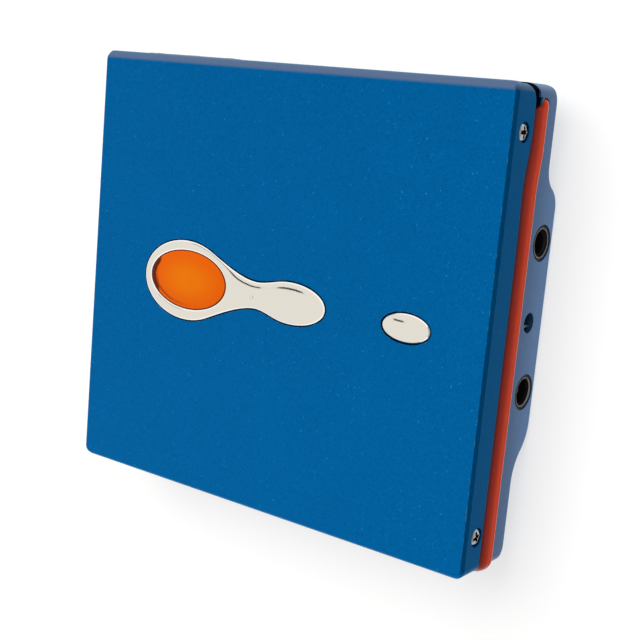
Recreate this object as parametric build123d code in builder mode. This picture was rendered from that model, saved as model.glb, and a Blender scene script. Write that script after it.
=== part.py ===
"""Portable minidisc player with a hinged lid, lying on its back.

X runs across the lid towards the jacks, Y runs from the disc slot towards the hinge and Z runs up
through the lid.  The origin is on the flat of the back, under the middle of the casing.
"""

import os

from build123d import *

os.makedirs("parts", exist_ok=True)

# ---------------------------------------------------------------- casing
plan_corner_radius = 1.6
base_wall = 0.9
back_edge_radius = 0.7
end_corner_radius = 2.8
thin_end_rise = 3.8  # the back of the thin ends above the flat of the hump
hump_front = -14.8
hump_battery_gap = 0.2
front_slope_run = 9.5
rear_slope_run = 6.5

# ---------------------------------------------------------------- lid
lid_skin = 0.8
lid_bevel_face = 0.43
lid_bevel_side = 0.6
lid_rear_rounding = 1.0
lid_front_lip = 2.1
lid_rear_lip = 2.3
flange_depth = 5.1
flange_crest_depth = 4.9
flange_hinge_depth = 5.9
flange_settle_inset = 22.7  # from the rear face
flange_crest_inset = 15.7
flange_hinge_inset = 6.7
flange_rear_radius = 3.2
flange_front_radius = 1.4
parting_gap = 0.2

# ---------------------------------------------------------------- trim band
bead_radius = 1.1
door_lintel = 0.45  # wall between the battery doorway and the bead
bead_step = 0.7  # how much lower the bead runs beside the hinge
bead_step_front_inset = 16.2  # from the rear face
bead_step_rear_inset = 9.2
bead_side_proud = 0.4
bead_front_proud = 1.0
bead_corner_radius = 1.5
bead_tip_inset = 2.0
band_wall = 0.8
band_recess = 0.3
band_end_inset = 3.2
band_corner_radius = 1.3
front_wall_gap = 0.25  # under the lid's front lip
seam = 0.05

# ---------------------------------------------------------------- hinge
hinge_inset = 2.9  # from the rear face
hinge_depth = 2.5  # below the lid's face
hinge_rod_radius = 0.8
hinge_barrel_radius = 1.5
hinge_spring_radius = 1.35
hinge_spring_length = 3.6
ear_thickness = 1.4
ear_width = 2.6
ear_radius = 1.5
ear_lug_gap = 0.3
running_gap = 0.03
press_gap = 0.01
cradle_low_drop = 4.75  # below the hinge axis
cradle_high_drop = 2.7

# ---------------------------------------------------------------- cartridge and its holder
cartridge_width = 72.0
cartridge_length = 68.0
cartridge_height = 5.0
cartridge_side_play = 0.25
cartridge_height_play = 0.15
holder_sheet = 0.3
holder_side_sheet = 0.4
holder_lip_width = 3.4
holder_front_gap = 0.45
holder_wing_gap = 0.5
holder_hinge_gap = 0.15
key_room = 1.1  # between the holder and the lid's skin

# ---------------------------------------------------------------- lid rails, catches and screws
rail_width = 3.15
holder_rail_gap = 0.35
rail_height = 2.7
rail_front_inset = 2.7
rail_hinge_gap = 2.5  # from the rail's end to the hinge axis
lug_thickness = 1.55
lug_radius = 1.5
catch_width = 1.4
catch_inset = 1.15  # from the rail's outer face
catch_front_inset = 6.2
catch_length = 1.6
catch_nose_length = 0.9
catch_nose_height = 0.6
catch_gap = 0.45  # over the latch plate
lid_screw_rear_inset = 7.1
lid_screw_front_inset = 6.3
lid_screw_depth = 3.36  # below the lid's face
screw_head_radius = 1.25
screw_head_height = 0.4
screw_shank_radius = 0.65
screw_recess_radius = 1.55
screw_recess_depth = 0.5
screw_hole_radius = 0.7
screw_length = 2.6
cross_slot_length = 1.5
cross_slot_width = 0.34
cross_slot_depth = 0.25

# ---------------------------------------------------------------- keys in the lid
key_proud = 0.35
key_gap = 0.12
key_flange_thickness = 0.3
key_flange_width = 0.7
key_edge_radius = 0.4
under_lid_gap = 0.05
ring_centre = (-18.3, -0.65)
ring_radius_x = 9.6
ring_radius_y = 6.96
ring_opening = 58.0  # angle at which the neck leaves the ring
bulb_centre = (4.6, -0.78)
bulb_radius_x = 7.0
bulb_radius_y = 3.56
bulb_opening = 110.0
neck_upper = (-5.9, 2.2)
neck_upper_waist = (-2.6, 1.68)
neck_lower = (-5.6, -3.52)
neck_lower_waist = (-2.4, -3.06)
lens_centre = (-17.83, -0.52)
lens_radius_x = 8.6
lens_radius_y = 5.1
lens_thickness = 0.85
lens_gap = 0.03
lens_edge_radius = 0.35
dot_centre = (-3.3, -1.0)
dot_radius = 0.45
stop_centre = (26.65, -0.75)
stop_radius_x = 4.45
stop_radius_y = 2.38
key_board_length = 62.0
key_board_width = 17.0
key_board_thickness = 0.2
dome_radius = 2.0
dome_height = 0.2

# ---------------------------------------------------------------- mechanism
chassis_sheet = 0.5
chassis_gap = 0.15  # under the holder's lips
chassis_side_gap = 0.05  # inside the holder's outer sides
chassis_front_inset = 1.8
chassis_rear_inset = 5.8
post_side_inset = 2.0  # from the chassis edge
post_front_inset = 6.3
post_rear_inset = 7.6
post_radius = 1.6
locating_pin_side_inset = 9.65  # from the holder's outer side
locating_pin_inset = 10.2
locating_pin_radius = 1.2
locating_pin_height = 1.0
spindle_y = -3.0
spindle_hole_radius = 8.8
motor_base_rim = 0.05
motor_base_thickness = 0.4
motor_post_radius = 0.5
motor_post_gap = 0.05  # from the chassis hole's edge
motor_post_height = 1.25
bearing_radius = 1.6
bearing_height = 0.5
spindle_radius = 0.6
rotor_hole_gap = 0.3
rotor_thickness = 0.4
rotor_wall = 0.5
rotor_rise = 0.2  # over the chassis
rotor_skirt = 1.2
magnet_width = 3.6
magnet_thickness = 0.5
coil_radius = 2.1
coil_rim_gap = 0.5
coil_thickness = 0.5
turntable_radius = 3.9
turntable_height = 0.5
turntable_tip_radius = 1.6
turntable_tip_height = 0.6

# ---------------------------------------------------------------- pickup sled and its drive
sled_end_gap = 0.5
lens_inset = 3.6  # from the sled's inner side
pickup_lens_radius = 1.6
pickup_lens_height = 0.75
sled_motor_base_gap = 1.0
sled_length = 11.0
sled_front_reach = 11.0  # from the spindle axis
sled_rear_reach = 3.7
sled_depth = 3.6
sled_chassis_gap = 0.3
sled_head_radius = 2.6
sled_head_height = 0.5
sled_slot_gap = 0.4
shaft_radius = 0.75
shaft_front_inset = 1.6  # from the sled's front edge
shaft_rear_inset = 1.7
shaft_drop = 2.6  # below the chassis
screw_inset = 2.6  # in front of the sled
sled_motor_gap = 0.2  # under the chassis
lead_screw_radius = 1.0
nut_arm_half_height = 1.6
bracket_wall_gap = 0.35
bracket_outer_thickness = 0.8
bracket_sled_gap = 0.35
bracket_inner_thickness = 0.5
bracket_height = 5.1
bracket_front_reach = 0.2  # past the nut arm
bracket_rear_inset = 0.5  # inside the sled's rear edge
sled_motor_radius = 3.0
sled_motor_length = 15.0
sled_motor_x = -7.0

# ---------------------------------------------------------------- boards
board_floor_gap = 0.3
board_thickness = 0.6
main_board_side_gap = 1.65
main_board_front_inset = 2.0
main_board_slope_reach = 0.1  # past the foot of the slope
rear_board_ear_gap = 0.7
board_hole_radius = 1.9
chip_height = 0.9
chip_inset = 5.6  # from the board's front edge
chip_columns = (-20.0, -4.0, 12.0)
chip_size = 9.0
small_chip_offsets = ((23.0, 4.2), (-28.4, 8.2))  # across, and from the front edge
small_chip_size = 3.6

# ---------------------------------------------------------------- jacks and strap hole
headphone_y = 13.7
power_y = -9.6
jack_body_width = 6.0
jack_nose_radius = 2.78
jack_hole_radius = 2.85
jack_nose_sink = 0.15
headphone_bore_radius = 1.775
headphone_bore_wall = 1.55  # solid end behind the bore
power_bore_radius = 2.0
power_bore_wall = 4.55
power_pin_radius = 0.5
power_pin_sink = 1.0  # from the nose to the pin's tip
ferrule_width = 0.3
ferrule_thickness = 0.5
jack_board_front_reach = 3.9  # past the power socket
jack_board_rear_reach = 4.1  # past the headphone socket
jack_board_cup_gap = 0.25
strap_y = 1.45
strap_z = 4.9
strap_radius = 1.6
strap_cup_wall = 0.6
strap_cup_depth = 2.4
strap_bar_radius = 0.3
strap_bar_shift = 0.7

# ---------------------------------------------------------------- battery and its door
battery_length = 67.0
battery_width = 17.0
battery_thickness = 6.0
battery_door_gap = 0.55
battery_sled_gap = 0.9
battery_floor_gap = 0.1
battery_motor_gap = 0.15
battery_corner_radius = 1.2
tray_wall = 0.45
tray_gap = 0.1
contact_thickness = 0.2
door_hinge_gap = 0.7  # behind the battery
door_barrel_radius = 0.65
door_thickness = 0.8
door_gap = 0.15
door_swing_gap = 0.12
door_pin_radius = 0.3
door_opening_gap = 0.1  # over the battery

# ---------------------------------------------------------------- side slides
knob_thickness = 0.35
knob_gap = 0.05
hold_y = -8.4
hold_rise = 1.4  # over the floor
hold_knob_length = 4.6
hold_knob_height = 1.6
hold_stem_length = 1.6
hold_stem_height = 0.8
hold_travel = 2.0
hold_body_length = 8.0
hold_body_width = 2.0
opener_inset = 9.9  # from the front face
opener_rise = 1.0  # over the thin floor
opener_knob_length = 6.4
opener_knob_height = 2.0
opener_stem_length = 3.4
opener_stem_height = 1.2
opener_travel = 1.6
slide_gap = 0.15
latch_sheet = 0.4
latch_chassis_gap = 0.35
latch_front_inset = 2.8
latch_bar_width = 1.5
latch_leg_width = 2.25
latch_side_gap = 0.2  # inside the trim band
latch_tab_rise = 0.6  # over the catch's nose
latch_tab_gap = 0.25
latch_tab_length = 1.0

# ---------------------------------------------------------------- volume key
volume_inset = 12.05  # from the left side to its middle
volume_rise = 3.3  # over the thin back
volume_length = 20.8
volume_height = 2.4
volume_proud = 0.35
volume_gap = 0.15
volume_depth = 1.5
volume_lip_length = 15.0
volume_lip_rise = 0.5
volume_lip_thickness = 0.55
volume_nib_radius = 0.45
volume_switch_length = 14.0
volume_switch_width = 1.4
volume_switch_rise = 1.5  # over the key's middle

# ---------------------------------------------------------------- heights, from the back up
battery_bottom = base_wall + battery_floor_gap
battery_top = battery_bottom + battery_thickness
door_opening_top = battery_top + door_opening_gap
wall_top = door_opening_top + door_lintel
bead_height = wall_top + seam + bead_radius
thin_floor = thin_end_rise + base_wall
board_bottom = thin_floor + board_floor_gap
board_top = board_bottom + board_thickness
motor_base_top = battery_top + battery_motor_gap + motor_base_thickness
chassis_bottom = motor_base_top + motor_post_height
chassis_top = chassis_bottom + chassis_sheet
holder_bottom = chassis_top + chassis_gap
holder_floor = holder_bottom + holder_sheet
holder_ceiling = holder_floor + cartridge_height + cartridge_height_play
holder_top = holder_ceiling + holder_sheet
lid_under = holder_top + key_room
casing_height = lid_under + lid_skin
front_wall_top = casing_height - lid_front_lip - front_wall_gap
hinge_z = casing_height - hinge_depth
cradle_low_z = hinge_z - cradle_low_drop
cradle_high_z = hinge_z - cradle_high_drop
rail_top = holder_ceiling
rail_bottom = rail_top - rail_height
lid_screw_z = casing_height - lid_screw_depth
key_flange_top = lid_under - under_lid_gap
key_flange_bottom = key_flange_top - key_flange_thickness
key_top = casing_height + key_proud
key_board_top = holder_top + key_board_thickness
lens_floor = key_top - lens_thickness
rotor_top = chassis_top + rotor_rise
sled_top = chassis_bottom - sled_chassis_gap
sled_bottom = sled_top - sled_depth
lens_seat = sled_top + sled_head_height - pickup_lens_radius / 4
shaft_z = chassis_bottom - shaft_drop
screw_z = chassis_bottom - sled_motor_gap - sled_motor_radius
bracket_bottom = chassis_bottom - bracket_height
jack_z = base_wall + jack_hole_radius
jack_body_top = jack_z + jack_hole_radius
latch_z = chassis_bottom - latch_chassis_gap - latch_sheet
catch_bottom = latch_z + latch_sheet + catch_gap
latch_tab_top = catch_bottom + catch_nose_height + latch_tab_rise
hold_z = base_wall + hold_rise
opener_z = thin_floor + opener_rise
volume_z = thin_end_rise + volume_rise
volume_switch_top = volume_z + volume_switch_rise
door_bottom = base_wall + door_gap
door_top = door_opening_top - door_gap
door_pin_length = wall_top - base_wall / 2 - 2 * seam

# ---------------------------------------------------------------- places across the casing
holder_inner_x = cartridge_width / 2 + cartridge_side_play
holder_outer_x = holder_inner_x + holder_side_sheet
rail_inner_x = holder_outer_x + holder_rail_gap
rail_outer_x = rail_inner_x + rail_width
flange_inner_x = rail_outer_x
half_width = flange_inner_x + lid_skin
casing_width = 2 * half_width
wall_inner_x = half_width - base_wall
band_outer_x = half_width - band_recess
band_inner_x = band_outer_x - band_wall
bead_x = half_width + bead_side_proud - bead_radius
holder_wing_x = rail_outer_x - holder_wing_gap
ear_inner_x = rail_outer_x - lug_thickness - ear_lug_gap - ear_thickness
hinge_barrel_length = 2 * (ear_inner_x - 2 * slide_gap - hinge_spring_length)
chassis_half_width = holder_outer_x - chassis_side_gap
post_x = chassis_half_width - post_side_inset
locating_pin_x = holder_outer_x - locating_pin_side_inset
catch_middle_x = rail_outer_x - catch_inset - catch_width / 2
latch_leg_outer_x = band_inner_x - latch_side_gap
latch_leg_inner_x = latch_leg_outer_x - latch_leg_width
bracket_outer_x = bracket_wall_gap - wall_inner_x
motor_post_circle_radius = spindle_hole_radius + motor_post_gap + motor_post_radius
motor_base_radius = motor_post_circle_radius + motor_post_radius + motor_base_rim
rotor_radius = spindle_hole_radius - rotor_hole_gap
magnet_inner_radius = rotor_radius - rotor_wall - magnet_width
coil_circle_radius = rotor_radius - rotor_wall - coil_rim_gap - coil_radius
sled_inner_x = -motor_base_radius - sled_motor_base_gap
lens_start_x = sled_inner_x - lens_inset
bracket_inner_x = sled_inner_x + bracket_sled_gap
sled_end_x = bracket_outer_x + bracket_outer_thickness + sled_end_gap
sled_travel = sled_inner_x - sled_length - sled_end_x
main_board_half_width = wall_inner_x - main_board_side_gap
rear_board_half_width = ear_inner_x - rear_board_ear_gap
battery_left_x = battery_door_gap - wall_inner_x
battery_right_x = battery_left_x + battery_length
tray_right_x = battery_right_x + 2 * seam + contact_thickness + tray_wall
jack_body_length = wall_inner_x - tray_right_x
headphone_bore_length = half_width - jack_nose_sink - headphone_bore_wall - tray_right_x
power_bore_length = half_width - jack_nose_sink - power_bore_wall - tray_right_x
power_pin_length = power_bore_length - power_pin_sink
jack_board_outer_x = wall_inner_x - strap_cup_depth - jack_board_cup_gap
strap_bar_x = wall_inner_x
door_hinge_x = door_barrel_radius - half_width
volume_x = volume_inset - half_width

# ---------------------------------------------------------------- places along the casing
front_stack = band_recess + band_wall + holder_front_gap
rear_stack = holder_sheet + holder_hinge_gap + hinge_barrel_radius + hinge_inset
casing_depth = front_stack + cartridge_length + rear_stack
half_depth = casing_depth / 2
band_outer_y = band_recess - half_depth
band_inner_y = band_outer_y + band_wall
holder_front_y = band_inner_y + holder_front_gap
holder_rear_y = holder_front_y + cartridge_length
holder_wing_front_y = holder_front_y + holder_wing_gap
hinge_y = half_depth - hinge_inset
flange_settle_y = half_depth - flange_settle_inset
flange_crest_y = half_depth - flange_crest_inset
flange_hinge_y = half_depth - flange_hinge_inset
flange_rear_y = half_depth - flange_rear_radius
bead_step_front = half_depth - bead_step_front_inset
bead_step_rear = half_depth - bead_step_rear_inset
bead_tip_y = half_depth - bead_tip_inset
bead_end_centre = bead_tip_y - bead_radius
bead_front_y = bead_radius - half_depth - bead_front_proud
band_end_y = half_depth - band_end_inset
rail_front_y = rail_front_inset - half_depth
rail_rear_y = hinge_y - rail_hinge_gap
catch_front_y = catch_front_inset - half_depth
lid_screw_front_y = lid_screw_front_inset - half_depth
lid_screw_rear_y = half_depth - lid_screw_rear_inset
lid_screw_places = [(lid_screw_front_y, lid_screw_z), (lid_screw_rear_y, lid_screw_z)]
chassis_front_y = chassis_front_inset - half_depth
chassis_rear_y = half_depth - chassis_rear_inset
post_front_y = post_front_inset - half_depth
post_rear_y = half_depth - post_rear_inset
screw_places = [(x, y) for x in (-post_x, post_x) for y in (post_front_y, post_rear_y)]
locating_pin_y = half_depth - locating_pin_inset
sled_front_y = spindle_y - sled_front_reach
sled_rear_y = spindle_y + sled_rear_reach
shaft_front_y = sled_front_y + shaft_front_inset
shaft_rear_y = sled_rear_y - shaft_rear_inset
screw_y = sled_front_y - screw_inset
nut_arm_front_y = screw_y - nut_arm_half_height
bracket_front_y = nut_arm_front_y - bracket_front_reach
bracket_rear_y = sled_rear_y - bracket_rear_inset
battery_front_y = sled_rear_y + battery_sled_gap
battery_rear_y = battery_front_y + battery_width
tray_front_y = battery_front_y - tray_gap - tray_wall
hump_rear = battery_rear_y + hump_battery_gap
door_front_y = battery_front_y - door_gap
door_opening_front = door_front_y - door_gap
door_hinge_y = battery_rear_y + door_hinge_gap
door_opening_rear = door_hinge_y + door_barrel_radius + door_swing_gap
main_board_front_y = main_board_front_inset - half_depth
main_board_rear_y = hump_front - front_slope_run + main_board_slope_reach
chip_places = [(x, main_board_front_y + chip_inset) for x in chip_columns]
small_chip_places = [(x, main_board_front_y + inset) for x, inset in small_chip_offsets]
rear_board_front_y = hump_rear + rear_slope_run
rear_board_rear_y = half_depth - end_corner_radius
jack_board_front_y = power_y - jack_board_front_reach
jack_board_rear_y = headphone_y + jack_board_rear_reach
opener_y = opener_inset - half_depth
latch_front_y = latch_front_inset - half_depth
latch_tab_rear_y = catch_front_y - catch_nose_length - latch_tab_gap
volume_inside_y = half_depth + volume_proud - volume_depth
volume_pivot_y = volume_inside_y - volume_lip_thickness
volume_switch_rear_y = volume_pivot_y - volume_nib_radius - seam


def s_curve(start, end):
    """Two equal tangent arcs that leave start and reach end level."""
    middle = ((start[0] + end[0]) / 2, (start[1] + end[1]) / 2)
    forward = 1 if end[0] > start[0] else -1
    first = TangentArc(start, middle, tangent=(forward, 0))
    TangentArc(middle, end, tangent=first % 1)


def back_outline(top):
    """Side view of the casing's back, from the front wall's top round to the rear wall's top."""
    corner_z = thin_end_rise + end_corner_radius
    front_y = -half_depth
    slope_front = hump_front - front_slope_run
    slope_rear = hump_rear + rear_slope_run
    inner_front = front_y + end_corner_radius
    inner_rear = half_depth - end_corner_radius
    Line((front_y, top), (front_y, corner_z))
    TangentArc((front_y, corner_z), (inner_front, thin_end_rise), tangent=(0, -1))
    Line((inner_front, thin_end_rise), (slope_front, thin_end_rise))
    s_curve((slope_front, thin_end_rise), (hump_front, 0))
    Line((hump_front, 0), (hump_rear, 0))
    s_curve((hump_rear, 0), (slope_rear, thin_end_rise))
    Line((slope_rear, thin_end_rise), (inner_rear, thin_end_rise))
    TangentArc((inner_rear, thin_end_rise), (half_depth, corner_z), tangent=(1, 0))
    Line((half_depth, corner_z), (half_depth, top))
    Line((half_depth, top), (front_y, top))


def flange_line(shift, rear_y):
    """Lower edge of the lid's side flange, moved down by shift, from past the front to rear_y."""
    level = casing_height - flange_depth - shift
    crest = casing_height - flange_crest_depth - shift
    low = casing_height - flange_hinge_depth - shift
    s_curve((flange_settle_y, level), (flange_crest_y, crest))
    s_curve((flange_crest_y, crest), (flange_hinge_y, low))
    Line((flange_hinge_y, low), (rear_y, low))
    return level, low


def tadpole_outline(margin):
    """Ring, waisted neck and bulb of the play key as one closed line, moved out by margin."""
    ring = EllipticalCenterArc(
        ring_centre,
        ring_radius_x + margin,
        ring_radius_y + margin,
        start_angle=ring_opening,
        arc_size=360 - 2 * ring_opening,
    )
    bulb = EllipticalCenterArc(
        bulb_centre,
        bulb_radius_x + margin,
        bulb_radius_y + margin,
        start_angle=-bulb_opening,
        arc_size=2 * bulb_opening,
    )
    upper = [(x, y + margin) for x, y in (neck_upper_waist, neck_upper)]
    lower = [(x, y - margin) for x, y in (neck_lower, neck_lower_waist)]
    Spline(bulb @ 1, *upper, ring @ 0, tangents=(bulb % 1, ring % 0))
    Spline(ring @ 1, *lower, bulb @ 0, tangents=(ring % 1, bulb % 0))


# ---------------------------------------------------------------- base shell
with BuildPart() as base_shell:
    with BuildSketch(Plane.YZ):
        with BuildLine():
            back_outline(casing_height)
        make_face()
    extrude(amount=half_width, both=True)
    side_faces = base_shell.faces().filter_by(Axis.X)
    fillet(side_faces.edges().filter_by_position(Axis.Z, 0, casing_height - 1), back_edge_radius)
    with BuildSketch():
        RectangleRounded(casing_width, casing_depth, plan_corner_radius)
    extrude(amount=casing_height, mode=Mode.INTERSECT)
    with BuildSketch(Plane.YZ):
        with BuildLine():
            back_outline(2 * casing_height)
        make_face()
        offset(amount=-base_wall, kind=Kind.INTERSECTION, mode=Mode.REPLACE)
    extrude(amount=wall_inner_x, both=True, mode=Mode.SUBTRACT)
    with BuildSketch(Plane.YZ):
        with BuildLine():
            Line((-casing_depth, wall_top), (bead_step_front, wall_top))
            s_curve((bead_step_front, wall_top), (bead_step_rear, wall_top - bead_step))
            Line((bead_step_rear, wall_top - bead_step), (bead_tip_y + seam, wall_top - bead_step))
            Line((bead_tip_y + seam, wall_top - bead_step), (bead_tip_y + seam, cradle_low_z))
            TangentArc(
                (bead_tip_y + seam, cradle_low_z), (half_depth, cradle_high_z), tangent=(1, 0)
            )
            Line((half_depth, cradle_high_z), (casing_depth, cradle_high_z))
            Line((casing_depth, cradle_high_z), (casing_depth, 2 * casing_height))
            Line((casing_depth, 2 * casing_height), (-casing_depth, 2 * casing_height))
            Line((-casing_depth, 2 * casing_height), (-casing_depth, wall_top))
        make_face()
    extrude(amount=casing_width, both=True, mode=Mode.SUBTRACT)
    for side in (-1, 1):
        with BuildSketch(Plane.YZ.offset(side * ear_inner_x)):
            with Locations((hinge_y, hinge_z)):
                Circle(ear_radius)
            with Locations((hinge_y - ear_radius, thin_end_rise + base_wall / 2)):
                Rectangle(
                    ear_width,
                    hinge_z - thin_end_rise - base_wall / 2,
                    align=(Align.MIN, Align.MIN),
                )
            with Locations((hinge_y, hinge_z)):
                Circle(hinge_rod_radius + press_gap, mode=Mode.SUBTRACT)
        extrude(amount=side * ear_thickness)
    # jacks and strap hole in the right wall
    with BuildSketch(Plane.YZ.offset(half_width)):
        with Locations((headphone_y, jack_z), (power_y, jack_z)):
            Circle(jack_hole_radius)
    extrude(amount=-2 * base_wall, mode=Mode.SUBTRACT)
    with BuildSketch(Plane.YZ.offset(wall_inner_x)):
        with Locations((strap_y, strap_z)):
            Circle(strap_radius + strap_cup_wall)
    extrude(amount=-strap_cup_depth)
    with BuildSketch(Plane.YZ.offset(half_width)):
        with Locations((strap_y, strap_z)):
            Circle(strap_radius)
    extrude(amount=-base_wall - strap_cup_depth + strap_cup_wall, mode=Mode.SUBTRACT)
    with BuildSketch(Plane.XY.offset(strap_z - strap_radius - strap_cup_wall / 2)):
        with Locations((strap_bar_x, strap_y - strap_bar_shift)):
            Circle(strap_bar_radius + press_gap)
    extrude(amount=2 * strap_radius + strap_cup_wall, mode=Mode.SUBTRACT)
    # battery doorway, with a boss over the door's hinge pin
    with BuildSketch(Plane.XY.offset(door_opening_top)):
        with Locations((-half_width, door_hinge_y)):
            Rectangle(
                base_wall + 2 * door_barrel_radius,
                4 * door_barrel_radius,
                align=(Align.MIN, Align.CENTER),
            )
    extrude(amount=wall_top - door_opening_top)
    with BuildSketch(Plane.YZ.offset(-half_width)):
        with Locations((door_opening_front, base_wall)):
            Rectangle(
                door_opening_rear - door_opening_front,
                door_opening_top - base_wall,
                align=(Align.MIN, Align.MIN),
            )
    extrude(amount=2 * base_wall, mode=Mode.SUBTRACT)
    with BuildSketch(Plane.XY.offset(base_wall / 2)):
        with Locations((door_hinge_x, door_hinge_y)):
            Circle(door_pin_radius + press_gap)
    extrude(amount=door_pin_length, mode=Mode.SUBTRACT)
    # slots for the two slides in the left wall
    with BuildSketch(Plane.YZ.offset(-half_width)):
        with Locations((hold_y + hold_travel / 2, hold_z)):
            Rectangle(
                hold_stem_length + hold_travel + 2 * slide_gap, hold_stem_height + 2 * slide_gap
            )
        with Locations((opener_y - opener_travel / 2, opener_z)):
            Rectangle(
                opener_stem_length + opener_travel + 2 * slide_gap,
                opener_stem_height + 2 * slide_gap,
            )
    extrude(amount=2 * base_wall, mode=Mode.SUBTRACT)
    # window for the volume key in the rear wall
    with BuildSketch(Plane.XZ.offset(-half_depth)):
        with Locations((volume_x, volume_z)):
            Rectangle(volume_length + 2 * volume_gap, volume_height + 2 * volume_gap)
    extrude(amount=2 * base_wall, mode=Mode.SUBTRACT)
    # countersunk screw holes in the back
    with BuildSketch():
        with Locations(*screw_places):
            Circle(screw_recess_radius)
    extrude(amount=thin_end_rise + screw_recess_depth, mode=Mode.SUBTRACT)
    with BuildSketch():
        with Locations(*screw_places):
            Circle(screw_hole_radius)
    extrude(amount=thin_floor + base_wall, mode=Mode.SUBTRACT)
base_shell.part.label = "base_shell"
export_step(base_shell.part, "parts/base_shell.step")

# ---------------------------------------------------------------- trim band
with BuildPart() as trim_band:
    with BuildSketch(Plane.XY.offset(wall_top + seam)) as lip_plan:
        with Locations((0, band_outer_y)):
            Rectangle(
                2 * band_outer_x, band_end_y - band_outer_y, align=(Align.CENTER, Align.MIN)
            )
        fillet(lip_plan.vertices().group_by(Axis.Y)[0], radius=band_corner_radius)
    extrude(amount=casing_height / 2)
    with BuildSketch(Plane.YZ):
        with BuildLine():
            lip_level, lip_low = flange_line(parting_gap, casing_depth)
            Line((-casing_depth, lip_level), (flange_settle_y, lip_level))
            Line((casing_depth, lip_low), (casing_depth, 2 * casing_height))
            Line((casing_depth, 2 * casing_height), (-casing_depth, 2 * casing_height))
            Line((-casing_depth, 2 * casing_height), (-casing_depth, lip_level))
        make_face()
    extrude(amount=casing_width, both=True, mode=Mode.SUBTRACT)
    with BuildSketch(Plane.XY.offset(bead_height)):
        with Locations((0, band_outer_y)):
            Rectangle(2 * band_inner_x, band_wall, align=(Align.CENTER, Align.MIN))
    extrude(amount=front_wall_top - bead_height)
    # round bead along both sides and the front
    with BuildLine() as bead_path:
        bead_low = bead_height - bead_step
        bead_step_middle = ((bead_step_front + bead_step_rear) / 2, bead_height - bead_step / 2)
        side_end = -bead_front_y - bead_corner_radius
        right_straight = Line((bead_x, bead_end_centre, bead_low), (bead_x, bead_step_rear, bead_low))
        right_rise = TangentArc(
            right_straight @ 1, (bead_x, *bead_step_middle), tangent=(0, -1, 0)
        )
        right_level = TangentArc(
            right_rise @ 1, (bead_x, bead_step_front, bead_height), tangent=right_rise % 1
        )
        right_side = Line(right_level @ 1, (bead_x, -side_end, bead_height))
        right_corner = TangentArc(
            right_side @ 1,
            (bead_x - bead_corner_radius, bead_front_y, bead_height),
            tangent=(0, -1, 0),
        )
        front = Line(right_corner @ 1, (bead_corner_radius - bead_x, bead_front_y, bead_height))
        left_corner = TangentArc(front @ 1, (-bead_x, -side_end, bead_height), tangent=(-1, 0, 0))
        left_side = Line(left_corner @ 1, (-bead_x, bead_step_front, bead_height))
        left_drop = TangentArc(left_side @ 1, (-bead_x, *bead_step_middle), tangent=(0, 1, 0))
        left_level = TangentArc(
            left_drop @ 1, (-bead_x, bead_step_rear, bead_low), tangent=left_drop % 1
        )
        Line(left_level @ 1, (-bead_x, bead_end_centre, bead_low))
    with BuildSketch(Plane(origin=(bead_x, bead_end_centre, bead_low), z_dir=(0, -1, 0))):
        Circle(bead_radius)
    sweep(path=bead_path.wire())
    with Locations((bead_x, bead_end_centre, bead_low), (-bead_x, bead_end_centre, bead_low)):
        Sphere(bead_radius)
    with BuildSketch() as band_inside:
        with Locations((0, band_inner_y)):
            Rectangle(2 * band_inner_x, casing_depth, align=(Align.CENTER, Align.MIN))
        fillet(
            band_inside.vertices().group_by(Axis.Y)[0], radius=band_corner_radius - band_wall
        )
    extrude(amount=casing_height, mode=Mode.SUBTRACT)
trim_band.part.label = "trim_band"
export_step(trim_band.part, "parts/trim_band.step")

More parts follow.
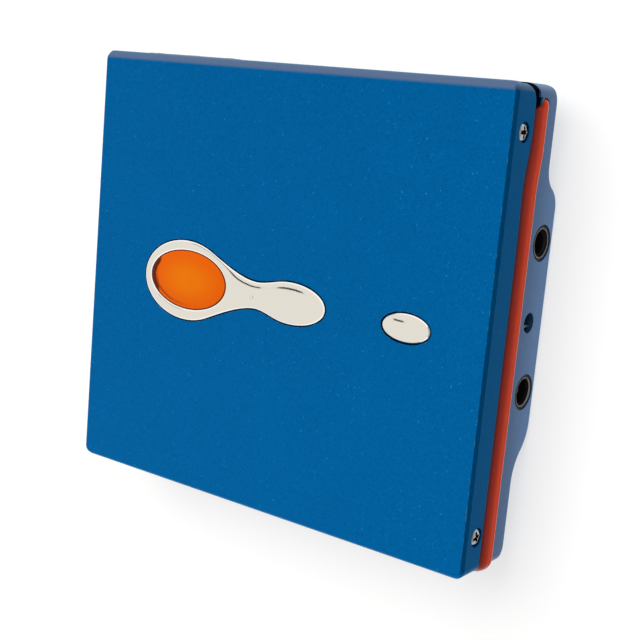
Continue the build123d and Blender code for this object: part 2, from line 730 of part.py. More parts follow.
# ---------------------------------------------------------------- lid panel
with BuildPart() as lid_panel:
    with BuildSketch():
        RectangleRounded(casing_width, casing_depth, plan_corner_radius)
    extrude(amount=casing_height)
    lid_face = lid_panel.faces().sort_by(Axis.Z)[-1]
    chamfer(lid_face.edges(), length=lid_bevel_face, length2=lid_bevel_side, reference=lid_face)
    with BuildSketch(Plane.YZ):
        with BuildLine():
            flange_level, flange_low = flange_line(0, flange_rear_y)
            front_y = -half_depth
            Line((flange_settle_y, flange_level), (front_y + flange_front_radius, flange_level))
            TangentArc(
                (front_y + flange_front_radius, flange_level),
                (front_y, flange_level + flange_front_radius),
                tangent=(-1, 0),
            )
            Line((front_y, flange_level + flange_front_radius), (front_y, casing_height))
            Line((front_y, casing_height), (half_depth - lid_rear_rounding, casing_height))
            TangentArc(
                (half_depth - lid_rear_rounding, casing_height),
                (half_depth, casing_height - lid_rear_rounding),
                tangent=(1, 0),
            )
            Line(
                (half_depth, casing_height - lid_rear_rounding),
                (half_depth, flange_low + flange_rear_radius),
            )
            TangentArc(
                (half_depth, flange_low + flange_rear_radius),
                (flange_rear_y, flange_low),
                tangent=(0, -1),
            )
        make_face()
    extrude(amount=half_width, both=True, mode=Mode.INTERSECT)
    with BuildSketch():
        RectangleRounded(
            2 * flange_inner_x, casing_depth - 2 * lid_skin, plan_corner_radius - lid_skin
        )
    extrude(amount=lid_under, mode=Mode.SUBTRACT)
    with BuildSketch():
        with Locations((0, -half_depth)):
            Rectangle(2 * flange_inner_x, 4 * lid_skin)
    extrude(amount=casing_height - lid_front_lip, mode=Mode.SUBTRACT)
    with BuildSketch():
        with Locations((0, half_depth)):
            Rectangle(2 * flange_inner_x, 4 * lid_skin)
    extrude(amount=casing_height - lid_rear_lip, mode=Mode.SUBTRACT)
    # windows for the keys
    with BuildSketch(Plane.XY.offset(lid_under)):
        with BuildLine():
            tadpole_outline(key_gap)
        make_face()
        with Locations(stop_centre):
            Ellipse(stop_radius_x + key_gap, stop_radius_y + key_gap)
    extrude(amount=2 * lid_skin, mode=Mode.SUBTRACT)
    # screw seats in the two flanges
    for side in (-1, 1):
        with BuildSketch(Plane.YZ.offset(side * half_width)):
            with Locations(*lid_screw_places):
                Circle(screw_recess_radius)
        extrude(amount=-side * screw_recess_depth, mode=Mode.SUBTRACT)
        with BuildSketch(Plane.YZ.offset(side * half_width)):
            with Locations(*lid_screw_places):
                Circle(screw_hole_radius)
        extrude(amount=-side * 2 * lid_skin, mode=Mode.SUBTRACT)
lid_panel.part.label = "lid_panel"
export_step(lid_panel.part, "parts/lid_panel.step")

# ---------------------------------------------------------------- hinge
with BuildPart() as hinge_rod:
    with BuildSketch(Plane.YZ):
        with Locations((hinge_y, hinge_z)):
            Circle(hinge_rod_radius)
    extrude(amount=rail_outer_x - slide_gap, both=True)
hinge_rod.part.label = "hinge_rod"
export_step(hinge_rod.part, "parts/hinge_rod.step")

with BuildPart() as hinge_barrel:
    with BuildSketch(Plane.YZ):
        with Locations((hinge_y, hinge_z)):
            Circle(hinge_barrel_radius)
            Circle(hinge_rod_radius + press_gap, mode=Mode.SUBTRACT)
    extrude(amount=hinge_barrel_length / 2, both=True)
hinge_barrel.part.label = "hinge_barrel"
export_step(hinge_barrel.part, "parts/hinge_barrel.step")

with BuildPart() as hinge_springs:
    for side in (-1, 1):
        with BuildSketch(Plane.YZ.offset(side * (hinge_barrel_length / 2 + slide_gap))):
            with Locations((hinge_y, hinge_z)):
                Circle(hinge_spring_radius)
                Circle(hinge_rod_radius + press_gap, mode=Mode.SUBTRACT)
        extrude(amount=side * hinge_spring_length)
hinge_springs.part.label = "hinge_springs"
export_step(hinge_springs.part, "parts/hinge_springs.step")


# ---------------------------------------------------------------- lid rails and disc holder
def lid_rail(side, name):
    """Rail inside one flange, with its hinge lug, its catch and its two screw holes."""
    with BuildPart() as rail:
        with BuildSketch(Plane.YZ.offset(side * rail_outer_x)):
            with Locations(((rail_front_y + rail_rear_y) / 2, (rail_top + rail_bottom) / 2)):
                Rectangle(rail_rear_y - rail_front_y, rail_height)
        extrude(amount=-side * rail_width)
        with BuildSketch(Plane.YZ.offset(side * rail_outer_x)):
            with Locations((hinge_y, hinge_z)):
                Circle(lug_radius)
            with Locations((hinge_y, hinge_z - lug_radius)):
                Rectangle(
                    hinge_y - rail_rear_y,
                    rail_top - hinge_z + lug_radius,
                    align=(Align.MAX, Align.MIN),
                )
            with Locations((hinge_y, hinge_z)):
                Circle(hinge_rod_radius + running_gap, mode=Mode.SUBTRACT)
        extrude(amount=-side * lug_thickness)
        with BuildSketch(Plane.YZ.offset(side * (rail_outer_x - catch_inset))):
            with Locations((catch_front_y, catch_bottom)):
                Rectangle(
                    catch_length, rail_bottom - catch_bottom, align=(Align.MIN, Align.MIN)
                )
                Rectangle(
                    catch_nose_length, catch_nose_height, align=(Align.MAX, Align.MIN)
                )
        extrude(amount=-side * catch_width)
        with BuildSketch(Plane.YZ.offset(side * rail_outer_x)):
            with Locations(*lid_screw_places):
                Circle(screw_hole_radius)
        extrude(amount=-side * screw_length, mode=Mode.SUBTRACT)
    rail.part.label = name
    export_step(rail.part, f"parts/{name}.step")


lid_rail(-1, "left_lid_rail")
lid_rail(1, "right_lid_rail")

with BuildPart() as disc_holder:
    with BuildSketch(Plane.XZ.offset(-holder_rear_y)):
        with Locations((0, holder_bottom)):
            Rectangle(
                2 * holder_outer_x, holder_top - holder_bottom, align=(Align.CENTER, Align.MIN)
            )
        with Locations((0, holder_floor)):
            Rectangle(
                2 * holder_inner_x,
                holder_ceiling - holder_floor,
                align=(Align.CENTER, Align.MIN),
                mode=Mode.SUBTRACT,
            )
        with Locations((0, holder_bottom)):
            Rectangle(
                2 * (holder_outer_x - holder_lip_width),
                holder_ceiling - holder_bottom,
                align=(Align.CENTER, Align.MIN),
                mode=Mode.SUBTRACT,
            )
    extrude(amount=holder_rear_y - holder_front_y)
    with BuildSketch(Plane.XZ.offset(-holder_rear_y)):
        with Locations((0, holder_bottom)):
            Rectangle(
                2 * holder_outer_x, holder_top - holder_bottom, align=(Align.CENTER, Align.MIN)
            )
    extrude(amount=-holder_sheet)
    # wings that lie on the rails
    with BuildSketch(Plane.XY.offset(holder_ceiling)):
        with Locations((0, holder_wing_front_y)):
            Rectangle(
                2 * holder_wing_x,
                rail_rear_y - holder_wing_front_y,
                align=(Align.CENTER, Align.MIN),
            )
    extrude(amount=holder_sheet)
disc_holder.part.label = "disc_holder"
export_step(disc_holder.part, "parts/disc_holder.step")

with BuildPart() as lid_screws:
    for side in (-1, 1):
        seat_x = side * (half_width - screw_recess_depth)
        head_x = seat_x + side * screw_head_height
        with BuildSketch(Plane.YZ.offset(seat_x)):
            with Locations(*lid_screw_places):
                Circle(screw_head_radius)
        extrude(amount=side * screw_head_height)
        with BuildSketch(Plane.YZ.offset(seat_x)):
            with Locations(*lid_screw_places):
                Circle(screw_shank_radius)
        extrude(amount=-side * screw_length)
        with BuildSketch(Plane.YZ.offset(head_x)):
            with Locations(*lid_screw_places):
                Rectangle(cross_slot_length, cross_slot_width)
                Rectangle(cross_slot_width, cross_slot_length)
        extrude(amount=-side * cross_slot_depth, mode=Mode.SUBTRACT)
lid_screws.part.label = "lid_screws"
export_step(lid_screws.part, "parts/lid_screws.step")

# ---------------------------------------------------------------- keys in the lid
with BuildPart() as key_board:
    with BuildSketch(Plane.XY.offset(holder_top)):
        with Locations((0, ring_centre[1])):
            Rectangle(key_board_length, key_board_width)
    extrude(amount=key_board_thickness)
key_board.part.label = "key_board"
export_step(key_board.part, "parts/key_board.step")

with BuildPart() as key_domes:
    with BuildSketch(Plane.XY.offset(key_board_top)):
        with Locations(ring_centre, bulb_centre, stop_centre):
            Circle(dome_radius)
    extrude(amount=dome_height)
    fillet(key_domes.faces().group_by(Axis.Z)[-1].edges(), radius=dome_height / 2)
key_domes.part.label = "key_domes"
export_step(key_domes.part, "parts/key_domes.step")

with BuildPart() as play_key:
    with BuildSketch(Plane.XY.offset(key_flange_bottom)):
        with BuildLine():
            tadpole_outline(0)
        make_face()
    extrude(amount=key_top - key_flange_bottom)
    fillet(play_key.faces().sort_by(Axis.Z)[-1].edges(), radius=key_edge_radius)
    with BuildSketch(Plane.XY.offset(key_flange_bottom)):
        with BuildLine():
            tadpole_outline(key_flange_width)
        make_face()
    extrude(amount=key_flange_thickness)
    with BuildSketch(Plane.XY.offset(lens_floor)):
        with Locations(lens_centre):
            Ellipse(lens_radius_x + lens_gap, lens_radius_y + lens_gap)
    extrude(amount=2 * lens_thickness, mode=Mode.SUBTRACT)
    with Locations((*dot_centre, key_top)):
        Sphere(dot_radius)
play_key.part.label = "play_key"
export_step(play_key.part, "parts/play_key.step")

with BuildPart() as play_key_lens:
    with BuildSketch(Plane.XY.offset(lens_floor)):
        with Locations(lens_centre):
            Ellipse(lens_radius_x, lens_radius_y)
    extrude(amount=lens_thickness)
    fillet(play_key_lens.faces().sort_by(Axis.Z)[-1].edges(), radius=lens_edge_radius)
play_key_lens.part.label = "play_key_lens"
export_step(play_key_lens.part, "parts/play_key_lens.step")

with BuildPart() as stop_key:
    with BuildSketch(Plane.XY.offset(key_flange_bottom)):
        with Locations(stop_centre):
            Ellipse(stop_radius_x, stop_radius_y)
    extrude(amount=key_top - key_flange_bottom)
    fillet(stop_key.faces().sort_by(Axis.Z)[-1].edges(), radius=key_edge_radius)
    with BuildSketch(Plane.XY.offset(key_flange_bottom)):
        with Locations(stop_centre):
            Ellipse(stop_radius_x + key_flange_width, stop_radius_y + key_flange_width)
    extrude(amount=key_flange_thickness)
stop_key.part.label = "stop_key"
export_step(stop_key.part, "parts/stop_key.step")

# ---------------------------------------------------------------- mechanism chassis
with BuildPart() as mechanism_chassis:
    with BuildSketch(Plane.XY.offset(chassis_bottom)):
        with Locations((0, chassis_front_y)):
            Rectangle(
                2 * chassis_half_width,
                chassis_rear_y - chassis_front_y,
                align=(Align.CENTER, Align.MIN),
            )
        with Locations((bracket_outer_x, bracket_front_y)):
            Rectangle(
                -bracket_outer_x,
                bracket_rear_y - bracket_front_y,
                align=(Align.MIN, Align.MIN),
            )
        with Locations((0, spindle_y)):
            Circle(spindle_hole_radius, mode=Mode.SUBTRACT)
        with Locations((lens_start_x - sled_travel / 2, spindle_y)):
            SlotCenterToCenter(
                sled_travel, 2 * (sled_head_radius + sled_slot_gap), mode=Mode.SUBTRACT
            )
    extrude(amount=chassis_sheet)
    with BuildSketch(Plane.XY.offset(chassis_top)):
        with GridLocations(2 * locating_pin_x, 2 * locating_pin_y, 2, 2):
            Circle(locating_pin_radius)
    extrude(amount=locating_pin_height)
    fillet(
        mechanism_chassis.faces().group_by(Axis.Z)[-1].edges(), radius=locating_pin_radius / 2
    )
    with BuildSketch(Plane.XY.offset(thin_floor)):
        with Locations(*screw_places):
            Circle(post_radius)
            Circle(screw_hole_radius, mode=Mode.SUBTRACT)
    extrude(amount=chassis_bottom - thin_floor)
    for bracket_x, thickness in (
        (bracket_outer_x, bracket_outer_thickness),
        (bracket_inner_x, bracket_inner_thickness),
    ):
        with BuildSketch(Plane.YZ.offset(bracket_x)):
            with Locations((bracket_front_y, bracket_bottom)):
                Rectangle(
                    bracket_rear_y - bracket_front_y,
                    chassis_bottom - bracket_bottom,
                    align=(Align.MIN, Align.MIN),
                )
            with Locations((shaft_front_y, shaft_z), (shaft_rear_y, shaft_z)):
                Circle(shaft_radius + press_gap, mode=Mode.SUBTRACT)
            with Locations((screw_y, screw_z)):
                Circle(lead_screw_radius + running_gap, mode=Mode.SUBTRACT)
        extrude(amount=thickness)
mechanism_chassis.part.label = "mechanism_chassis"
export_step(mechanism_chassis.part, "parts/mechanism_chassis.step")

with BuildPart() as base_screws:
    seat_z = thin_end_rise + screw_recess_depth
    with BuildSketch(Plane.XY.offset(seat_z)):
        with Locations(*screw_places):
            Circle(screw_head_radius)
    extrude(amount=-screw_head_height)
    with BuildSketch(Plane.XY.offset(seat_z)):
        with Locations(*screw_places):
            Circle(screw_shank_radius)
    extrude(amount=screw_length)
    with BuildSketch(Plane.XY.offset(seat_z - screw_head_height)):
        with Locations(*screw_places):
            Rectangle(cross_slot_length, cross_slot_width)
            Rectangle(cross_slot_width, cross_slot_length)
    extrude(amount=cross_slot_depth, mode=Mode.SUBTRACT)
base_screws.part.label = "base_screws"
export_step(base_screws.part, "parts/base_screws.step")

# ---------------------------------------------------------------- spindle motor
with BuildPart() as spindle_motor_base:
    with BuildSketch(Plane.XY.offset(motor_base_top - motor_base_thickness)):
        with Locations((0, spindle_y)):
            Circle(motor_base_radius)
    extrude(amount=motor_base_thickness)
    with BuildSketch(Plane.XY.offset(motor_base_top)):
        with Locations((0, spindle_y)):
            with PolarLocations(motor_post_circle_radius, 3, start_angle=60):
                Circle(motor_post_radius)
    extrude(amount=motor_post_height)
    with BuildSketch(Plane.XY.offset(motor_base_top)):
        with Locations((0, spindle_y)):
            Circle(bearing_radius)
    extrude(amount=bearing_height)
    with BuildSketch(Plane.XY.offset(motor_base_top - motor_base_thickness)):
        with Locations((0, spindle_y)):
            Circle(spindle_radius + running_gap)
    extrude(amount=motor_base_thickness + bearing_height, mode=Mode.SUBTRACT)
spindle_motor_base.part.label = "spindle_motor_base"
export_step(spindle_motor_base.part, "parts/spindle_motor_base.step")

with BuildPart() as stator_coils:
    with BuildSketch(Plane.XY.offset(motor_base_top)):
        with Locations((0, spindle_y)):
            with PolarLocations(coil_circle_radius, 6):
                Circle(coil_radius)
                Circle(coil_radius / 3, mode=Mode.SUBTRACT)
    extrude(amount=coil_thickness)
stator_coils.part.label = "stator_coils"
export_step(stator_coils.part, "parts/stator_coils.step")

with BuildPart() as rotor_cup:
    with BuildSketch(Plane.XY.offset(rotor_top)):
        with Locations((0, spindle_y)):
            Circle(rotor_radius)
    extrude(amount=-rotor_thickness)
    with BuildSketch(Plane.XY.offset(rotor_top)):
        with Locations((0, spindle_y)):
            Circle(rotor_radius)
            Circle(rotor_radius - rotor_wall, mode=Mode.SUBTRACT)
    extrude(amount=-rotor_skirt)
    with BuildSketch(Plane.XY.offset(motor_base_top - motor_base_thickness)):
        with Locations((0, spindle_y)):
            Circle(spindle_radius)
    extrude(amount=rotor_top - motor_base_top + motor_base_thickness)
rotor_cup.part.label = "rotor_cup"
export_step(rotor_cup.part, "parts/rotor_cup.step")

with BuildPart() as rotor_magnet:
    with BuildSketch(Plane.XY.offset(rotor_top - rotor_thickness)):
        with Locations((0, spindle_y)):
            Circle(rotor_radius - rotor_wall - slide_gap)
            Circle(magnet_inner_radius, mode=Mode.SUBTRACT)
    extrude(amount=-magnet_thickness)
rotor_magnet.part.label = "rotor_magnet"
export_step(rotor_magnet.part, "parts/rotor_magnet.step")

with BuildPart() as turntable:
    with BuildSketch(Plane.XY.offset(rotor_top)):
        with Locations((0, spindle_y)):
            Circle(turntable_radius)
    extrude(amount=turntable_height)
    with BuildSketch(Plane.XY.offset(rotor_top + turntable_height)):
        with Locations((0, spindle_y)):
            Circle(turntable_tip_radius)
    extrude(amount=turntable_tip_height, taper=20)
turntable.part.label = "turntable"
export_step(turntable.part, "parts/turntable.step")

# ---------------------------------------------------------------- pickup sled and its drive
with BuildPart() as pickup_sled:
    with BuildSketch(Plane.XY.offset(sled_bottom)):
        with Locations((sled_inner_x, sled_front_y)):
            Rectangle(sled_length, sled_rear_y - sled_front_y, align=(Align.MAX, Align.MIN))
    extrude(amount=sled_top - sled_bottom)
    with BuildSketch(Plane.XY.offset(sled_top)):
        with Locations((lens_start_x, spindle_y)):
            Circle(sled_head_radius)
    extrude(amount=sled_head_height)
    with BuildSketch(Plane.XY.offset(lens_seat)):
        with Locations((lens_start_x, spindle_y)):
            Circle(pickup_lens_radius + running_gap)
    extrude(amount=sled_top, mode=Mode.SUBTRACT)
    with BuildSketch(Plane.XY.offset(screw_z - nut_arm_half_height)):
        with Locations((sled_inner_x - sled_length / 2, nut_arm_front_y)):
            Rectangle(
                sled_length / 2, sled_front_y - nut_arm_front_y, align=(Align.CENTER, Align.MIN)
            )
    extrude(amount=2 * nut_arm_half_height)
    with BuildSketch(Plane.YZ.offset(sled_inner_x)):
        with Locations((shaft_front_y, shaft_z), (shaft_rear_y, shaft_z)):
            Circle(shaft_radius + running_gap)
        with Locations((screw_y, screw_z)):
            Circle(lead_screw_radius + running_gap)
    extrude(amount=-sled_length, mode=Mode.SUBTRACT)
pickup_sled.part.label = "pickup_sled"
export_step(pickup_sled.part, "parts/pickup_sled.step")

with BuildPart() as objective_lens:
    with BuildSketch(Plane.XY.offset(lens_seat)):
        with Locations((lens_start_x, spindle_y)):
            Circle(pickup_lens_radius)
    extrude(amount=pickup_lens_height)
    fillet(objective_lens.faces().sort_by(Axis.Z)[-1].edges(), radius=pickup_lens_height / 2)
objective_lens.part.label = "objective_lens"
export_step(objective_lens.part, "parts/objective_lens.step")

with BuildPart() as guide_shafts:
    with BuildSketch(Plane.YZ.offset(bracket_outer_x)):
        with Locations((shaft_front_y, shaft_z), (shaft_rear_y, shaft_z)):
            Circle(shaft_radius)
    extrude(amount=bracket_inner_x + bracket_inner_thickness - bracket_outer_x)
guide_shafts.part.label = "guide_shafts"
export_step(guide_shafts.part, "parts/guide_shafts.step")

with BuildPart() as lead_screw:
    with BuildSketch(Plane.YZ.offset(bracket_outer_x)):
        with Locations((screw_y, screw_z)):
            Circle(lead_screw_radius)
    extrude(amount=sled_motor_x + lead_screw_radius - bracket_outer_x)
lead_screw.part.label = "lead_screw"
export_step(lead_screw.part, "parts/lead_screw.step")

with BuildPart() as sled_motor:
    with BuildSketch(Plane.YZ.offset(sled_motor_x)):
        with Locations((screw_y, screw_z)):
            Circle(sled_motor_radius)
    extrude(amount=sled_motor_length)
    with BuildSketch(Plane.YZ.offset(sled_motor_x)):
        with Locations((screw_y, screw_z)):
            Circle(lead_screw_radius + running_gap)
    extrude(amount=lead_screw_radius + slide_gap, mode=Mode.SUBTRACT)
sled_motor.part.label = "sled_motor"
export_step(sled_motor.part, "parts/sled_motor.step")

# ---------------------------------------------------------------- boards
with BuildPart() as main_board:
    with BuildSketch(Plane.XY.offset(board_bottom)):
        with Locations((0, main_board_front_y)):
            Rectangle(
                2 * main_board_half_width,
                main_board_rear_y - main_board_front_y,
                align=(Align.CENTER, Align.MIN),
            )
        with Locations(*screw_places):
            Circle(board_hole_radius, mode=Mode.SUBTRACT)
    extrude(amount=board_thickness)
main_board.part.label = "main_board"
export_step(main_board.part, "parts/main_board.step")

with BuildPart() as board_chips:
    with BuildSketch(Plane.XY.offset(board_top)):
        with Locations(*chip_places):
            Rectangle(chip_size, chip_size)
        with Locations(*small_chip_places):
            Rectangle(small_chip_size, small_chip_size)
    extrude(amount=chip_height)
board_chips.part.label = "board_chips"
export_step(board_chips.part, "parts/board_chips.step")

with BuildPart() as rear_board:
    with BuildSketch(Plane.XY.offset(board_bottom)):
        with Locations((0, rear_board_front_y)):
            Rectangle(
                2 * rear_board_half_width,
                rear_board_rear_y - rear_board_front_y,
                align=(Align.CENTER, Align.MIN),
            )
        with Locations(*screw_places):
            Circle(board_hole_radius, mode=Mode.SUBTRACT)
    extrude(amount=board_thickness)
rear_board.part.label = "rear_board"
export_step(rear_board.part, "parts/rear_board.step")

with BuildPart() as volume_switch:
    with BuildSketch(Plane.XY.offset(board_top)):
        with Locations((volume_x, volume_switch_rear_y)):
            Rectangle(
                volume_switch_length, volume_switch_width, align=(Align.CENTER, Align.MAX)
            )
    extrude(amount=volume_switch_top - board_top)
volume_switch.part.label = "volume_switch"
export_step(volume_switch.part, "parts/volume_switch.step")


# ---------------------------------------------------------------- jacks and strap bar
def jack(name, centre_y, bore_radius, bore_length):
    """Jack's block inside the wall, its round nose in the wall and its bore with a ring seat."""
    nose_x = half_width - jack_nose_sink
    with BuildPart() as body:
        with BuildSketch(Plane.YZ.offset(wall_inner_x)):
            with Locations((centre_y, base_wall + seam)):
                Rectangle(
                    jack_body_width,
                    jack_body_top - base_wall - seam,
                    align=(Align.CENTER, Align.MIN),
                )
        extrude(amount=-jack_body_length)
        with BuildSketch(Plane.YZ.offset(wall_inner_x)):
            with Locations((centre_y, jack_z)):
                Circle(jack_nose_radius)
        extrude(amount=nose_x - wall_inner_x)
        with BuildSketch(Plane.YZ.offset(nose_x)):
            with Locations((centre_y, jack_z)):
                Circle(bore_radius)
        extrude(amount=-bore_length, mode=Mode.SUBTRACT)
        with BuildSketch(Plane.YZ.offset(nose_x)):
            with Locations((centre_y, jack_z)):
                Circle(bore_radius + ferrule_width + press_gap)
        extrude(amount=-ferrule_thickness, mode=Mode.SUBTRACT)
    body.part.label = name
    export_step(body.part, f"parts/{name}.step")


jack("headphone_jack", headphone_y, headphone_bore_radius, headphone_bore_length)
jack("power_jack", power_y, power_bore_radius, power_bore_length)

with BuildPart() as power_jack_pin:
    with BuildSketch(Plane.YZ.offset(half_width - jack_nose_sink - power_bore_length)):
        with Locations((power_y, jack_z)):
            Circle(power_pin_radius)
    extrude(amount=power_pin_length)
power_jack_pin.part.label = "power_jack_pin"
export_step(power_jack_pin.part, "parts/power_jack_pin.step")

with BuildPart() as jack_rings:
    for ring_y, ring_radius in (
        (headphone_y, headphone_bore_radius),
        (power_y, power_bore_radius),
    ):
        with BuildSketch(Plane.YZ.offset(half_width - jack_nose_sink)):
            with Locations((ring_y, jack_z)):
                Circle(ring_radius + ferrule_width)
                Circle(ring_radius + seam, mode=Mode.SUBTRACT)
        extrude(amount=-ferrule_thickness)
jack_rings.part.label = "jack_rings"
export_step(jack_rings.part, "parts/jack_rings.step")

with BuildPart() as jack_board:
    with BuildSketch(Plane.XY.offset(jack_body_top)):
        with Locations((wall_inner_x - jack_body_length, jack_board_front_y)):
            Rectangle(
                jack_board_outer_x - wall_inner_x + jack_body_length,
                jack_board_rear_y - jack_board_front_y,
                align=(Align.MIN, Align.MIN),
            )
    extrude(amount=board_thickness)
jack_board.part.label = "jack_board"
export_step(jack_board.part, "parts/jack_board.step")

with BuildPart() as strap_bar:
    with BuildSketch(Plane.XY.offset(strap_z - strap_radius - strap_cup_wall / 2)):
        with Locations((strap_bar_x, strap_y - strap_bar_shift)):
            Circle(strap_bar_radius)
    extrude(amount=2 * strap_radius + strap_cup_wall)
strap_bar.part.label = "strap_bar"
export_step(strap_bar.part, "parts/strap_bar.step")

# ---------------------------------------------------------------- battery and its door
with BuildPart() as battery_cell:
    with BuildSketch(Plane.YZ.offset(battery_left_x)):
        with Locations(((battery_front_y + battery_rear_y) / 2, (battery_bottom + battery_top) / 2)):
            RectangleRounded(battery_width, battery_thickness, battery_corner_radius)
    extrude(amount=battery_length)
battery_cell.part.label = "battery_cell"
export_step(battery_cell.part, "parts/battery_cell.step")

with BuildPart() as battery_tray:
    with BuildSketch(Plane.XY.offset(base_wall + seam)):
        with Locations((battery_left_x, tray_front_y)):
            Rectangle(
                tray_right_x - battery_left_x, tray_wall, align=(Align.MIN, Align.MIN)
            )
        with Locations((tray_right_x, tray_front_y)):
            Rectangle(tray_wall, battery_rear_y - tray_front_y, align=(Align.MAX, Align.MIN))
    extrude(amount=battery_top - tray_gap - base_wall - seam)
battery_tray.part.label = "battery_tray"
export_step(battery_tray.part, "parts/battery_tray.step")

with BuildPart() as battery_contact:
    with BuildSketch(Plane.YZ.offset(battery_right_x + seam)):
        with Locations(((battery_front_y + battery_rear_y) / 2, (battery_bottom + battery_top) / 2)):
            Rectangle(battery_width / 2, battery_thickness / 2)
    extrude(amount=contact_thickness)
battery_contact.part.label = "battery_contact"
export_step(battery_contact.part, "parts/battery_contact.step")

with BuildPart() as battery_door:
    with BuildSketch(Plane.XY.offset(door_bottom)):
        with Locations((-half_width, door_front_y)):
            Rectangle(door_thickness, door_hinge_y - door_front_y, align=(Align.MIN, Align.MIN))
        with Locations((door_hinge_x, door_hinge_y)):
            Circle(door_barrel_radius)
            Circle(door_pin_radius + running_gap, mode=Mode.SUBTRACT)
    extrude(amount=door_top - door_bottom)
    with BuildSketch(Plane.XY.offset(door_bottom)):
        with Locations((-half_width, door_front_y + 2 * door_thickness)):
            Circle(door_thickness / 2)
    extrude(amount=door_top - door_bottom, mode=Mode.SUBTRACT)
battery_door.part.label = "battery_door"
export_step(battery_door.part, "parts/battery_door.step")

with BuildPart() as door_contact:
    with BuildSketch(Plane.YZ.offset(-half_width + door_thickness)):
        with Locations(((battery_front_y + battery_rear_y) / 2, (battery_bottom + battery_top) / 2)):
            Rectangle(battery_width / 2, battery_thickness / 2)
    extrude(amount=contact_thickness)
door_contact.part.label = "door_contact"
export_step(door_contact.part, "parts/door_contact.step")

with BuildPart() as door_hinge_pin:
    with BuildSketch(Plane.XY.offset(base_wall / 2 + seam)):
        with Locations((door_hinge_x, door_hinge_y)):
            Circle(door_pin_radius)
    extrude(amount=door_pin_length - 2 * seam)
door_hinge_pin.part.label = "door_hinge_pin"
export_step(door_hinge_pin.part, "parts/door_hinge_pin.step")

# ---------------------------------------------------------------- slides in the left wall
with BuildPart() as hold_knob:
    with BuildSketch(Plane.YZ.offset(-half_width - knob_gap)):
        with Locations((hold_y, hold_z)):
            RectangleRounded(hold_knob_length, hold_knob_height, hold_knob_height / 3)
    extrude(amount=-knob_thickness)
    with BuildSketch(Plane.YZ.offset(-half_width - knob_gap)):
        with Locations((hold_y, hold_z)):
            Rectangle(hold_stem_length, hold_stem_height)
    extrude(amount=base_wall + slide_gap)
hold_knob.part.label = "hold_knob"
export_step(hold_knob.part, "parts/hold_knob.step")

with BuildPart() as hold_switch:
    with BuildSketch(Plane.YZ.offset(-wall_inner_x + 2 * slide_gap)):
        with Locations((hold_y + hold_travel / 2, base_wall + seam)):
            Rectangle(
                hold_body_length,
                bracket_bottom - slide_gap - base_wall - seam,
                align=(Align.CENTER, Align.MIN),
            )
    extrude(amount=hold_body_width)
hold_switch.part.label = "hold_switch"
export_step(hold_switch.part, "parts/hold_switch.step")

with BuildPart() as open_knob:
    with BuildSketch(Plane.YZ.offset(-half_width - knob_gap)):
        with Locations((opener_y, opener_z)):
            RectangleRounded(opener_knob_length, opener_knob_height, opener_knob_height / 3)
    extrude(amount=-knob_thickness)
    with BuildSketch(Plane.YZ.offset(-half_width - knob_gap)):
        with Locations((opener_y, opener_z)):
            Rectangle(opener_stem_length, opener_stem_height)
    extrude(amount=half_width + knob_gap - latch_leg_outer_x)
open_knob.part.label = "open_knob"
export_step(open_knob.part, "parts/open_knob.step")

with BuildPart() as latch_plate:
    with BuildSketch(Plane.XY.offset(latch_z)) as latch_plan:
        with Locations((0, latch_front_y)):
            Rectangle(
                2 * latch_leg_outer_x, latch_bar_width, align=(Align.CENTER, Align.MIN)
            )
        fillet(latch_plan.vertices().group_by(Axis.Y)[0], radius=latch_bar_width / 2)
        with Locations((latch_leg_inner_x, latch_front_y + latch_bar_width)):
            Rectangle(
                latch_leg_outer_x - latch_leg_inner_x,
                latch_tab_rear_y - latch_front_y - latch_bar_width,
                align=(Align.MIN, Align.MIN),
            )
        with Locations((-latch_leg_inner_x, latch_front_y + latch_bar_width)):
            Rectangle(
                latch_leg_outer_x - latch_leg_inner_x,
                opener_y + opener_stem_length / 2 - latch_front_y - latch_bar_width,
                align=(Align.MAX, Align.MIN),
            )
    extrude(amount=latch_sheet)
    with BuildSketch(Plane.XY.offset(latch_z + latch_sheet)):
        with Locations((-catch_middle_x, latch_tab_rear_y), (catch_middle_x, latch_tab_rear_y)):
            Rectangle(catch_width, latch_tab_length, align=(Align.CENTER, Align.MAX))
    extrude(amount=latch_tab_top - latch_z - latch_sheet)
    with BuildSketch(Plane.XY.offset(latch_z)):
        with Locations((-latch_leg_outer_x, opener_y)):
            Rectangle(latch_sheet, opener_stem_length, align=(Align.MIN, Align.CENTER))
    extrude(amount=opener_z - opener_stem_height / 2 - latch_z)
latch_plate.part.label = "latch_plate"
export_step(latch_plate.part, "parts/latch_plate.step")

# ---------------------------------------------------------------- volume key
with BuildPart() as volume_key:
    with BuildSketch(Plane.XZ.offset(-volume_inside_y)):
        with Locations((volume_x, volume_z)):
            RectangleRounded(volume_length, volume_height, volume_height / 3)
    extrude(amount=-(half_depth + volume_proud - volume_inside_y))
    fillet(volume_key.faces().sort_by(Axis.Y)[-1].edges(), radius=volume_proud / 2)
    with BuildSketch(Plane.XZ.offset(-volume_inside_y)):
        with Locations((volume_x, volume_z - volume_height / 2 + seam)):
            Rectangle(
                volume_lip_length,
                volume_height + volume_lip_rise - seam,
                align=(Align.CENTER, Align.MIN),
            )
    extrude(amount=volume_lip_thickness)
    with BuildSketch(Plane.XY.offset(volume_z - volume_height / 2 + seam)):
        with Locations((volume_x, volume_pivot_y)):
            Circle(volume_nib_radius)
    extrude(amount=volume_height)
volume_key.part.label = "volume_key"
export_step(volume_key.part, "parts/volume_key.step")
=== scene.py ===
import math

import bmesh
import bpy
import numpy as np
from mathutils import Matrix, Vector, geometry


